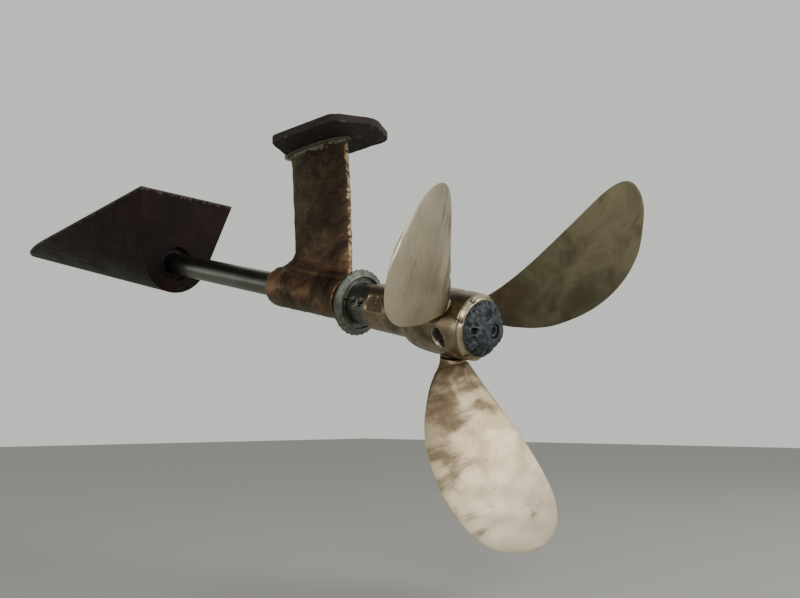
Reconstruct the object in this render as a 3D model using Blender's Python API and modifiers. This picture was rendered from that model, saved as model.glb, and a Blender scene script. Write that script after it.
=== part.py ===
"""Feathering yacht propeller with its shaft, line cutter, strut and shaft log.

Metres, +Z up, +Y toward the bow, +X to starboard. The origin is the middle of the strut palm's
top face, which is bolted up against the hull.
"""

import math

import bmesh
import bpy
from mathutils import Matrix, Vector
from mathutils.geometry import interpolate_bezier

# Gap that touching pieces keep, and the turning counts of large and small round pieces
TOUCH = 0.0003
STEPS = 48
SMALL_STEPS = 20

# How far a cutter runs past what it cuts
CUT_PAST = 0.020

# Shaft line: it drops toward the stern at this slope through the propeller's middle
SHAFT_SLOPE = math.radians(13.9)
PROP_BEHIND_PALM = 0.2225
PROP_BELOW_PALM = 0.300
SHAFT_RADIUS = 0.01905
SHAFT_CHAMFER = 0.001
SHAFT_END_GAP = 0.010

# Strut: palm with pointed ends, streamlined arm and the barrel that holds the water bearing
PALM_WIDTH = 0.118
PALM_LENGTH = 0.200
PALM_POINT = 0.031
PALM_CORNER = 0.014
PALM_THICKNESS = 0.012
PALM_EDGE = 0.002
ARM_THICKNESS = 0.022
ARM_FULLNESS = 0.75
ARM_FRONT_FOOT = 0.0651
ARM_FRONT_HEAD = 0.0863
ARM_BACK_FOOT = -0.0510
ARM_BACK_HEAD = -0.0376
ARM_BACK_BEND = 2.0
ARM_RINGS = 17
ARM_AROUND = 44
ARM_RING_CROWDING = 0.12
ARM_START = 0.80
HEAD_FLARE = 0.0075
HEAD_FLARE_REACH = 0.025
FOOT_FLARE = 0.0320
FOOT_FLARE_REACH = 0.0260
FOOT_SIDE_FLARE = 0.0060
FOOT_SIDE_REACH = 0.0120
BARREL_FRONT = -0.3430
BARREL_BACK = -0.1860
BARREL_WALL_FRONT = 0.0055
BARREL_WALL_BACK = 0.0042
BARREL_NOSE_LENGTH = 0.0120
BARREL_NOSE_WALL = 0.0016
BARREL_NOSE_STEPS = 6
BARREL_CHAMFER = 0.0020
SEALANT_RADIUS = 0.0022
SEALANT_SLACK = 0.0010

# Water bearing: a brass shell that stands a little proud of the barrel's nose, and a rubber liner
BEARING_RUN = 0.00035
RUBBER_WALL = 0.0040
SHELL_WALL = 0.0020
SHELL_PROUD = 0.0040
SET_SCREW_RADIUS = 0.0034
SET_SCREW_LENGTH = 0.0036
SET_SCREW_BACK = 0.0420

# Shaft log: a round-bottomed fairing under the hull that the shaft comes out of. The hull over it
# drops toward the bow, and would pass this far below the palm's top if it were carried aft
LOG_FACE = -0.650
LOG_LENGTH = 0.601
LOG_ROUND_RADIUS = 0.064
LOG_ROUND_RAISE = 0.011
LOG_TOP_HALF_WIDTH = 0.0935
LOG_TOP_RAISE = 0.124
LOG_EDGE = 0.003
LOG_ARC_STEPS = 28
LOG_MOUTH_RADIUS = 0.031
LOG_MOUTH_DEPTH = 0.012
LOG_BORE_DEPTH = 0.240
LOG_BEARING_LENGTH = 0.150
HULL_SLOPE = math.radians(2.41)
HULL_DROP = 0.0076

# Line cutter: a toothed disc and its clamp collar, split in two halves on the shaft
CUTTER_FRONT = -0.1615
CUTTER_THICKNESS = 0.0082
CUTTER_RADIUS = 0.0475
CUTTER_BACK_RADIUS = 0.0385
CUTTER_TOOTH_DEPTH = 0.0022
CUTTER_TOOTH_LENGTH = 0.0030
CUTTER_TOOTH_LEAN = 0.6
CUTTER_TEETH = 30
CUTTER_DISH_RADIUS = 0.0365
CUTTER_DISH_DEPTH = 0.0050
COLLAR_RADIUS = 0.0290
COLLAR_BACK = -0.1200
SPLIT_ANGLE = math.radians(35)
CUTTER_SCREW_RADIUS = 0.0030
CUTTER_SCREW_HEAD_RADIUS = 0.0048
CUTTER_SCREW_OFFSET = 0.0235
CUTTER_SCREW_SHANK = 0.0100
CUTTER_SCREW_SEAT = 0.0075
CUTTER_SCREW_HEAD = 0.0045
CUTTER_SCREW_PLACES = (-0.1430, -0.1280)

# Hub: front sleeve, three segments that split through the blade ports, and the nose ring
SLEEVE_RADIUS = 0.0320
SLEEVE_FLAT = 0.0295
SLEEVE_FLAT_FRONT = 0.006
SLEEVE_FLAT_LENGTH = 0.030
SLEEVE_FLAT_ANGLE = math.radians(20)
HUB_FRONT = -0.0450
HUB_BACK = 0.0530
HUB_RADIUS = 0.0430
HUB_FRONT_RADIUS = 0.0330
HUB_SHOULDER_RADIUS = 0.0385
HUB_SHOULDER_LENGTH = 0.0050
HUB_SWELL_RADIUS = 0.0415
HUB_SWELL_LENGTH = 0.0160
HUB_FULL_FRONT = -0.0110
HUB_FULL_BACK = 0.0300
HUB_TAPER_RADIUS = 0.0424
HUB_TAPER_LENGTH = 0.0100
HUB_BACK_RADIUS = 0.0412
HUB_EDGE = 0.0010
SHAFT_FIT = 0.00035
NOSE_LENGTH = 0.0060
NOSE_CHAMFER = 0.0035

# Each hub segment's bolt lies in a long pocket beside the segment's middle
HUB_POCKET_TURN = math.radians(-12)
HUB_POCKET_PLACE = 0.0255
HUB_POCKET_LEAN = math.radians(18)
HUB_POCKET_DEPTH = 0.0088
HUB_POCKET_LENGTH = 0.0285
HUB_POCKET_WIDTH = 0.0165
HUB_BOLT_RADIUS = 0.0042
HUB_BOLT_LENGTH = 0.0100
HUB_BOLT_SUNK = 0.0040
HUB_BOLT_ASIDE = 0.0050
HUB_BOLT_TILT = math.radians(40)
HUB_BOLT_CLEARANCE = 0.0005

# Anode: a rounded zinc cone on the nose ring, with a middle bolt and three screws
ANODE_BASE_RADIUS = 0.0350
ANODE_LENGTH = 0.0208
ANODE_TIP_RADIUS = 0.0150
ANODE_SHAPE = (
    (0.0195, 0.93), (0.0225, 0.80), (0.0300, 0.42), (0.0335, 0.25), (0.0350, 0.12),
)
ANODE_RECESS_RADIUS = 0.0098
ANODE_RECESS_DEPTH = 0.0080
ANODE_BOLT_RADIUS = 0.0050
ANODE_BOLT_HEAD_RADIUS = 0.0080
ANODE_BOLT_HEAD = 0.0045
ANODE_SCREW_COUNT = 3
ANODE_SCREW_RADIUS = 0.0038
ANODE_SCREW_CIRCLE = 0.0262
ANODE_SCREW_HEAD = 0.0030
ANODE_SCREW_SEAT = 0.0040
ANODE_SCREW_ANGLE = math.radians(188)

# Blades: the azimuth of the first spindle about the shaft, starboard 0 and up 90 degrees
BLADE_COUNT = 3
FIRST_BLADE = math.radians(-79)
SPINDLE_PLACE = 0.0140
PORT_CLEARANCE = 0.0005
ROOT_FLOOR = 0.0270
FLANGE_RADIUS = 0.0200
FLANGE_HEIGHT = 0.0045
JOURNAL_RADIUS = 0.0150
JOURNAL_EDGE = 0.0010
ROOT_TOP = 0.0438
NECK_PLACE = (-0.0050, 0.0060, 0.0440)
NECK_SUNK = 0.0020
NECK_RADIUS = 0.0160
NECK_RINGS = 6

# Leaf: its own axis leans aft of the spindle, and each station is (along, across) from that axis
LEAF_RAKE = math.radians(34.2)
LEAF_FORWARD = 0.0160
LEAF_PITCH = math.radians(11.4)
LEAF_PITCH_AT = 0.150
LEAF_UNTWIST = math.radians(4.9)
LEAF_UNTWIST_LENGTH = 0.100
LEAF_BOW = -0.0052
LEAF_BOW_START = 0.060
LEADING_EDGE = (
    (0.061, -0.0415), (0.074, -0.0545), (0.090, -0.0670), (0.118, -0.084), (0.150, -0.0935),
    (0.201, -0.093), (0.246, -0.075), (0.279, -0.042), (0.2955, 0.001), (0.300, 0.024),
)
TRAILING_EDGE = (
    (0.061, 0.0095), (0.090, 0.018), (0.122, 0.030), (0.182, 0.055),
    (0.238, 0.075), (0.268, 0.0775), (0.287, 0.068), (0.298, 0.046), (0.300, 0.024),
)
LEAF_ROOT_THICKNESS = 0.0150
LEAF_MIDDLE_THICKNESS = 0.0085
LEAF_TIP_THICKNESS = 0.0030
LEAF_MIDDLE_PART = 0.45
LEAF_TIP_ROUNDING = 0.06
LEAF_RINGS = 22
LEAF_AROUND = 28


def clearScene():
    for thing in list(bpy.data.objects):
        bpy.data.objects.remove(thing, do_unlink=True)


def makeMaterial(name, colour, roughness, metallic):
    material = bpy.data.materials.new(name)
    material.use_nodes = True
    shader = material.node_tree.nodes["Principled BSDF"]
    shader.inputs["Base Color"].default_value = (*colour, 1)
    shader.inputs["Roughness"].default_value = roughness
    shader.inputs["Metallic"].default_value = metallic
    return material


def newCollection(name, hidden=False):
    collection = bpy.data.collections.new(name)
    collection.hide_render = hidden
    bpy.context.scene.collection.children.link(collection)
    return collection


def addEmpty(name, parent, matrix):
    empty = bpy.data.objects.new(name, None)
    empty.empty_display_size = 0.05
    bpy.context.scene.collection.objects.link(empty)
    empty.parent = parent
    empty.matrix_local = matrix
    return empty


def addObject(name, mesh, material=None, parent=None, matrix=None, cutter=False):
    thing = bpy.data.objects.new(name, mesh)
    (cutters if cutter else pieces).objects.link(thing)
    thing.parent = parent
    thing.matrix_local = matrix or Matrix.Identity(4)
    if material:
        mesh.materials.append(material)
    if cutter:
        thing.hide_render = True
        thing.display_type = "WIRE"
    return thing


def meshFrom(name, shape):
    bmesh.ops.recalc_face_normals(shape, faces=shape.faces)
    mesh = bpy.data.meshes.new(name)
    shape.to_mesh(mesh)
    shape.free()
    return mesh


def stepsFor(radius):
    return STEPS if radius > 0.012 else SMALL_STEPS


def rod(name, radius, start, end, **placing):
    """A closed cylinder along its own Z from start to end."""
    shape = bmesh.new()
    middle = Matrix.Translation((0, 0, (start + end) / 2))
    bmesh.ops.create_cone(
        shape, cap_ends=True, segments=stepsFor(radius), radius1=radius, radius2=radius,
        depth=end - start, matrix=middle,
    )
    return addObject(name, meshFrom(name, shape), **placing)


def box(name, size, middle, **placing):
    shape = bmesh.new()
    bmesh.ops.create_cube(shape, size=1, matrix=Matrix.Translation(middle) @ Matrix.Diagonal((*size, 1)))
    return addObject(name, meshFrom(name, shape), **placing)


def turned(name, outline, closed, **placing):
    """Turns (radius, height) points about Z: a closed ring of points, or a run from axis to axis."""
    shape = bmesh.new()
    corners = [shape.verts.new((radius, 0, height)) for radius, height in outline]
    pairs = list(zip(corners, corners[1:]))
    if closed:
        pairs.append((corners[-1], corners[0]))
    for pair in pairs:
        shape.edges.new(pair)
    mesh = bpy.data.meshes.new(name)
    shape.to_mesh(mesh)
    shape.free()
    thing = addObject(name, mesh, **placing)
    screw = thing.modifiers.new("Turn", "SCREW")
    screw.axis = "Z"
    screw.steps = stepsFor(max(radius for radius, height in outline))
    screw.render_steps = screw.steps
    screw.use_merge_vertices = True
    screw.merge_threshold = 0.00001
    return thing


def tube(name, inner, outer, front, back, **placing):
    outline = [(outer, back), (outer, front), (inner, front), (inner, back)]
    return turned(name, outline, True, **placing)


def boolean(target, other, operation="DIFFERENCE"):
    step = target.modifiers.new(operation.title(), "BOOLEAN")
    step.operation = operation
    step.solver = "EXACT"
    step.object = other
    return step


def bevel(target, width, segments=2):
    step = target.modifiers.new("Bevel", "BEVEL")
    step.width = width
    step.segments = segments
    step.limit_method = "ANGLE"
    step.angle_limit = math.radians(50)
    return step


def smoothRun(points, count):
    """Points evenly along a smooth curve that passes through the given ones."""
    run = [Vector((x, y, 0)) for x, y in points]
    dense = []
    for i in range(len(run) - 1):
        before = run[max(i - 1, 0)]
        after = run[min(i + 2, len(run) - 1)]
        first = run[i] + (run[i + 1] - before) / 6
        second = run[i + 1] - (after - run[i]) / 6
        dense += interpolate_bezier(run[i], first, second, run[i + 1], 9)[:-1]
    dense.append(run[-1])
    reach = [0]
    for a, b in zip(dense, dense[1:]):
        reach.append(reach[-1] + (b - a).length)
    even = []
    for k in range(count + 1):
        want = reach[-1] * k / count
        i = next(j for j in range(1, len(reach)) if reach[j] >= want - 1e-9)
        part = (want - reach[i - 1]) / (reach[i] - reach[i - 1])
        even.append(dense[i - 1].lerp(dense[i], part))
    return even


def outlineSolid(name, points, depth, **placing):
    """A flat outline in XY, filled and drawn out along Z from 0 to depth."""
    curve = bpy.data.curves.new(name, "CURVE")
    curve.dimensions = "2D"
    curve.fill_mode = "BOTH"
    curve.extrude = depth / 2
    spline = curve.splines.new("POLY")
    spline.points.add(len(points) - 1)
    for point, (x, y) in zip(spline.points, points):
        point.co = (x, y, 0, 1)
    spline.use_cyclic_u = True
    drawn = bpy.data.objects.new(name, curve)
    shape = bmesh.new()
    shape.from_mesh(drawn.to_mesh())
    drawn.to_mesh_clear()
    bpy.data.objects.remove(drawn)
    bmesh.ops.remove_doubles(shape, verts=shape.verts, dist=0.00001)
    bmesh.ops.translate(shape, verts=shape.verts, vec=(0, 0, depth / 2))
    return addObject(name, meshFrom(name, shape), **placing)


def shaftHeight(forward):
    """Height of the shaft line at a distance forward of the palm's middle."""
    return -PROP_BELOW_PALM + (forward + PROP_BEHIND_PALM) * math.tan(SHAFT_SLOPE)


def barrelBore():
    return SHAFT_RADIUS + BEARING_RUN + RUBBER_WALL + SHELL_WALL + 2 * TOUCH


def flare(distance, amount, reach):
    """How far a fillet stands out at a distance from the surface that it runs into."""
    return amount * max(0, 1 - max(0, distance) / reach) ** 2


def armPoint(turn, height, off=0):
    """Place on the arm's skin: turn 0 is starboard, a quarter turn forward, and off is outward."""
    foot = shaftHeight((ARM_FRONT_FOOT + ARM_BACK_FOOT) / 2)
    part = max(0, (height - foot) / (-PALM_THICKNESS / 2 - foot))
    front = ARM_FRONT_FOOT + (ARM_FRONT_HEAD - ARM_FRONT_FOOT) * part
    back = ARM_BACK_FOOT + (ARM_BACK_HEAD - ARM_BACK_FOOT) * part ** ARM_BACK_BEND
    across, along = math.cos(turn), math.sin(turn)
    forward = (front + back) / 2 + along * (front - back) / 2
    skin = barrelBore() + BARREL_WALL_FRONT
    overBarrel = (height - shaftHeight(forward)) * math.cos(SHAFT_SLOPE) - skin
    side = flare(overBarrel, FOOT_SIDE_FLARE, FOOT_SIDE_REACH)
    foreAft = flare(overBarrel, FOOT_FLARE, FOOT_FLARE_REACH) if along > 0 else side
    head = flare(-PALM_THICKNESS - height, HEAD_FLARE, HEAD_FLARE_REACH) if along > 0 else 0
    width = math.copysign(abs(across) ** ARM_FULLNESS, across)
    return Vector((
        width * (ARM_THICKNESS / 2 + side + off),
        forward + along * (foreAft * math.cos(SHAFT_SLOPE) + head + off),
        height + along * foreAft * math.sin(SHAFT_SLOPE),
    ))


def armMesh(name):
    """A cylinder cut into rings, drawn out between the barrel and the palm."""
    shape = bmesh.new()
    bmesh.ops.create_cone(shape, cap_ends=True, segments=ARM_AROUND, radius1=1, radius2=1, depth=1)
    upright = [edge for edge in shape.edges if abs(edge.verts[0].co.z - edge.verts[1].co.z) > 0.5]
    bmesh.ops.subdivide_edges(shape, edges=upright, cuts=ARM_RINGS)
    skin = barrelBore() + BARREL_WALL_FRONT
    for corner in shape.verts:
        part = corner.co.z + 0.5
        part -= ARM_RING_CROWDING * math.sin(math.tau * part)
        turn = math.atan2(corner.co.y, corner.co.x)
        centre = (ARM_FRONT_FOOT + ARM_BACK_FOOT) / 2
        reach = (ARM_FRONT_FOOT - ARM_BACK_FOOT) / 2
        low = shaftHeight(centre + reach * math.sin(turn)) + skin * ARM_START
        corner.co = armPoint(turn, low + (-PALM_THICKNESS / 2 - low) * part)
    return meshFrom(name, shape)


def roundedOutline(corners, cut):
    """A closed outline with each corner rounded off over a length."""
    outline = []
    for k, corner in enumerate(corners):
        before, after = corners[k - 1], corners[(k + 1) % len(corners)]
        start = corner + (before - corner).normalized() * cut
        end = corner + (after - corner).normalized() * cut
        outline += interpolate_bezier(start, start.lerp(corner, 0.6), end.lerp(corner, 0.6), end, 7)
    return [(point.x, point.y) for point in outline]


def makeStrut():
    """One bronze casting: the palm under the hull, the arm, and the bored barrel."""
    bore = barrelBore()
    front, back = bore + BARREL_WALL_FRONT, bore + BARREL_WALL_BACK
    nose = bore + BARREL_NOSE_WALL
    outline = [
        (0, BARREL_BACK), (back - BARREL_CHAMFER, BARREL_BACK), (back, BARREL_BACK - BARREL_CHAMFER),
    ]
    for k in range(BARREL_NOSE_STEPS + 1):
        turn = math.pi / 2 * k / BARREL_NOSE_STEPS
        outline.append((
            nose + (front - nose) * math.cos(turn),
            BARREL_FRONT + BARREL_NOSE_LENGTH * (1 - math.sin(turn)),
        ))
    outline.append((0, BARREL_FRONT))
    barrel = turned("strut_barrel_solid", outline, False, parent=shaftLine, cutter=True)
    arm = addObject("strut_arm_solid", armMesh("strut_arm_solid"), cutter=True)
    side, end = PALM_WIDTH / 2, PALM_LENGTH / 2
    corners = [
        Vector((side, end - PALM_POINT, 0)), Vector((0, end, 0)), Vector((-side, end - PALM_POINT, 0)),
        Vector((-side, PALM_POINT - end, 0)), Vector((0, -end, 0)), Vector((side, PALM_POINT - end, 0)),
    ]
    strut = outlineSolid(
        "strut_casting", roundedOutline(corners, PALM_CORNER), PALM_THICKNESS, material=castBronze,
        parent=strutFrame, matrix=Matrix.Translation((0, 0, -PALM_THICKNESS)),
    )
    bevel(strut, PALM_EDGE)
    boolean(strut, arm, "UNION")
    boolean(strut, barrel, "UNION")
    hole = rod(
        "strut_bore", bore, BARREL_FRONT - CUT_PAST, BARREL_BACK + CUT_PAST,
        parent=shaftLine, cutter=True,
    )
    boolean(strut, hole)
    socket = rod(
        "set_screw_hole", SET_SCREW_RADIUS + TOUCH, bore - BARREL_WALL_BACK, front + CUT_PAST,
        parent=shaftLine, matrix=setScrewPlace(), cutter=True,
    )
    boolean(strut, socket)


def setScrewPlace():
    """Frame of the set screw: out through the barrel toward the port side."""
    along = BARREL_FRONT + SET_SCREW_BACK
    return Matrix.Translation((0, 0, along)) @ Matrix.Rotation(math.radians(-90), 4, "Y")


def makeStrutFittings():
    """What the barrel and arm carry: the water bearing, its set screw and the sealant bead."""
    shellOuter = barrelBore() - TOUCH
    shellInner = shellOuter - SHELL_WALL
    tube(
        "bearing_shell", shellInner, shellOuter, BARREL_FRONT - SHELL_PROUD, BARREL_BACK,
        material=brass, parent=shaftLine,
    )
    tube(
        "bearing_rubber", SHAFT_RADIUS + BEARING_RUN, shellInner - TOUCH, BARREL_FRONT - SHELL_PROUD,
        BARREL_BACK, material=rubber, parent=shaftLine,
    )
    rod(
        "bearing_set_screw", SET_SCREW_RADIUS, shellOuter + TOUCH, shellOuter + TOUCH + SET_SCREW_LENGTH,
        material=steel, parent=shaftLine, matrix=setScrewPlace(),
    )
    addSealant()


def addSealant():
    """A bead of sealant round the arm where it meets the palm."""
    curve = bpy.data.curves.new("arm_sealant", "CURVE")
    curve.dimensions = "3D"
    curve.bevel_depth = SEALANT_RADIUS
    curve.bevel_resolution = 2
    spline = curve.splines.new("POLY")
    spline.points.add(STEPS - 1)
    spline.use_cyclic_u = True
    for k, point in enumerate(spline.points):
        place = armPoint(
            math.tau * k / STEPS, -PALM_THICKNESS - SEALANT_RADIUS - TOUCH,
            SEALANT_RADIUS + TOUCH + SEALANT_SLACK,
        )
        point.co = (*place, 1)
    bead = bpy.data.objects.new("arm_sealant", curve)
    pieces.objects.link(bead)
    bead.parent = strutFrame
    curve.materials.append(sealant)


def makeLog():
    """The shaft log fairing, cut off along the hull, with its mouth and bore."""
    sideAngle = math.atan2(LOG_TOP_HALF_WIDTH - LOG_ROUND_RADIUS, LOG_TOP_RAISE - LOG_ROUND_RAISE)
    overTop = LOG_TOP_RAISE + LOG_LENGTH * math.tan(SHAFT_SLOPE + HULL_SLOPE)
    topHalf = LOG_TOP_HALF_WIDTH + (overTop - LOG_TOP_RAISE) * math.tan(sideAngle)
    outline = [(topHalf, overTop)]
    for k in range(LOG_ARC_STEPS + 1):
        turn = -sideAngle - (math.pi - 2 * sideAngle) * k / LOG_ARC_STEPS
        outline.append((
            LOG_ROUND_RADIUS * math.cos(turn), LOG_ROUND_RAISE + LOG_ROUND_RADIUS * math.sin(turn),
        ))
    outline.append((-topHalf, overTop))
    log = outlineSolid(
        "shaft_log_fairing", outline, LOG_LENGTH, material=antifouling, parent=shaftLine,
        matrix=Matrix.Translation((0, 0, LOG_FACE - LOG_LENGTH)),
    )
    bevel(log, LOG_EDGE)
    span = 2 * (LOG_LENGTH - LOG_FACE)
    tilt = Matrix.Translation((0, 0, -HULL_DROP)) @ Matrix.Rotation(-HULL_SLOPE, 4, "X")
    hull = box(
        "hull_side", (span, span, span), (0, span / 2, span / 2), parent=strutFrame, matrix=tilt, cutter=True,
    )
    boolean(log, hull)
    boolean(log, rod(
        "log_mouth", LOG_MOUTH_RADIUS, LOG_FACE - LOG_MOUTH_DEPTH, LOG_FACE + CUT_PAST,
        parent=shaftLine, cutter=True,
    ))
    bearingOuter = SHAFT_RADIUS + BEARING_RUN + RUBBER_WALL
    boolean(log, rod(
        "log_bore", bearingOuter + TOUCH, LOG_FACE - LOG_BORE_DEPTH, LOG_FACE,
        parent=shaftLine, cutter=True,
    ))
    back = LOG_FACE - LOG_MOUTH_DEPTH
    tube(
        "log_bearing", SHAFT_RADIUS + BEARING_RUN, bearingOuter, back - LOG_BEARING_LENGTH, back,
        material=rubber, parent=shaftLine,
    )


def makeShaft():
    """The propeller shaft, from inside the log to the nose ring."""
    front = LOG_FACE - LOG_BORE_DEPTH + SHAFT_END_GAP
    shaft = rod("propeller_shaft", SHAFT_RADIUS, front, HUB_BACK - TOUCH, material=steel, parent=shaftLine)
    bevel(shaft, SHAFT_CHAMFER)


def makeCutter():
    """The line cutter: two half discs with teeth, and the screws that clamp them on the shaft."""
    back = CUTTER_FRONT + CUTTER_THICKNESS
    bore = SHAFT_RADIUS + SHAFT_FIT
    splitTurn = Matrix.Rotation(SPLIT_ANGLE, 4, "Z")
    dish = rod(
        "cutter_dish", CUTTER_DISH_RADIUS, back - CUTTER_DISH_DEPTH, back + CUT_PAST,
        parent=shaftLine, cutter=True,
    )
    collar = rod(
        "cutter_collar", COLLAR_RADIUS, CUTTER_FRONT + CUTTER_THICKNESS / 3, COLLAR_BACK,
        parent=shaftLine, cutter=True,
    )
    hole = rod(
        "cutter_bore", bore, CUTTER_FRONT - CUT_PAST, COLLAR_BACK + CUT_PAST,
        parent=shaftLine, cutter=True,
    )
    seat, tip = CUTTER_SCREW_SEAT, -CUTTER_SCREW_SHANK
    screwHoles = []
    for side in (1, -1):
        for row, place in enumerate(CUTTER_SCREW_PLACES):
            across = Matrix.Translation((CUTTER_SCREW_OFFSET * side, 0, place))
            turn = splitTurn @ across @ Matrix.Rotation(math.radians(90 * side), 4, "X")
            number = row + 1 if side == 1 else row + 1 + len(CUTTER_SCREW_PLACES)
            screwHoles.append(turned(
                f"cutter_screw_hole_{number}",
                screwOutline(CUTTER_SCREW_RADIUS + TOUCH, CUTTER_SCREW_HEAD_RADIUS + TOUCH,
                             tip - TOUCH, seat - TOUCH, seat + COLLAR_RADIUS),
                False, parent=shaftLine, matrix=turn, cutter=True,
            ))
            turned(
                f"cutter_screw_{number}",
                screwOutline(CUTTER_SCREW_RADIUS, CUTTER_SCREW_HEAD_RADIUS,
                             tip, seat, seat + CUTTER_SCREW_HEAD),
                False, material=steel, parent=shaftLine, matrix=turn,
            )
    reach = 2 * (CUTTER_RADIUS + COLLAR_BACK - CUTTER_FRONT)
    rim = addObject("cutter_rim", toothedRim("cutter_rim"), parent=shaftLine, cutter=True)
    root = CUTTER_RADIUS - CUTTER_TOOTH_DEPTH
    for name, facing in (("cutter_half_upper", 1), ("cutter_half_lower", -1)):
        half = turned(
            name, [(0, back), (CUTTER_BACK_RADIUS, back), (root, CUTTER_FRONT + CUTTER_TOOTH_LENGTH / 2),
                   (root, CUTTER_FRONT + TOUCH), (0, CUTTER_FRONT + TOUCH)],
            False, material=cutterSteel, parent=shaftLine,
        )
        boolean(half, rim, "UNION")
        boolean(half, dish)
        boolean(half, collar, "UNION")
        boolean(half, hole)
        other = box(
            f"{name}_split", (reach, reach, reach),
            (0, -facing * (reach - TOUCH) / 2, (CUTTER_FRONT + COLLAR_BACK) / 2),
            parent=shaftLine, matrix=splitTurn, cutter=True,
        )
        boolean(half, other)
        for screwHole in screwHoles:
            boolean(half, screwHole)


def toothedRim(name):
    """A thin disc whose rim is drawn in at every other corner, so that saw teeth are left."""
    shape = bmesh.new()
    bmesh.ops.create_cone(
        shape, cap_ends=True, segments=2 * CUTTER_TEETH, radius1=CUTTER_RADIUS,
        radius2=CUTTER_RADIUS, depth=CUTTER_TOOTH_LENGTH,
        matrix=Matrix.Translation((0, 0, CUTTER_FRONT + CUTTER_TOOTH_LENGTH / 2)),
    )
    step = math.pi / CUTTER_TEETH
    for corner in shape.verts:
        number = round(math.atan2(corner.co.y, corner.co.x) / step)
        if number % 2:
            turn = (number - CUTTER_TOOTH_LEAN) * step
            root = CUTTER_RADIUS - CUTTER_TOOTH_DEPTH
            corner.co.x = root * math.cos(turn)
            corner.co.y = root * math.sin(turn)
    return meshFrom(name, shape)


def screwOutline(shankRadius, headRadius, tip, seat, top):
    """Half outline of a screw on its Z axis, from its head's middle down to its tip."""
    head = [(0, top), (headRadius, top), (headRadius, seat)]
    return [*head, (shankRadius, seat), (shankRadius, tip), (0, tip)]


def bladeFrame(number):
    """Frame of a blade: Z out along its spindle, Y aft along the shaft."""
    azimuth = FIRST_BLADE + math.tau * number / BLADE_COUNT
    out = Vector((math.cos(azimuth), math.sin(azimuth), 0))
    aft = Vector((0, 0, 1))
    across = aft.cross(out)
    frame = Matrix.Identity(4)
    for column, axis in enumerate((across, aft, out)):
        frame.col[column][:3] = axis
    frame.translation = (0, 0, SPINDLE_PLACE)
    return frame


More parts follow.
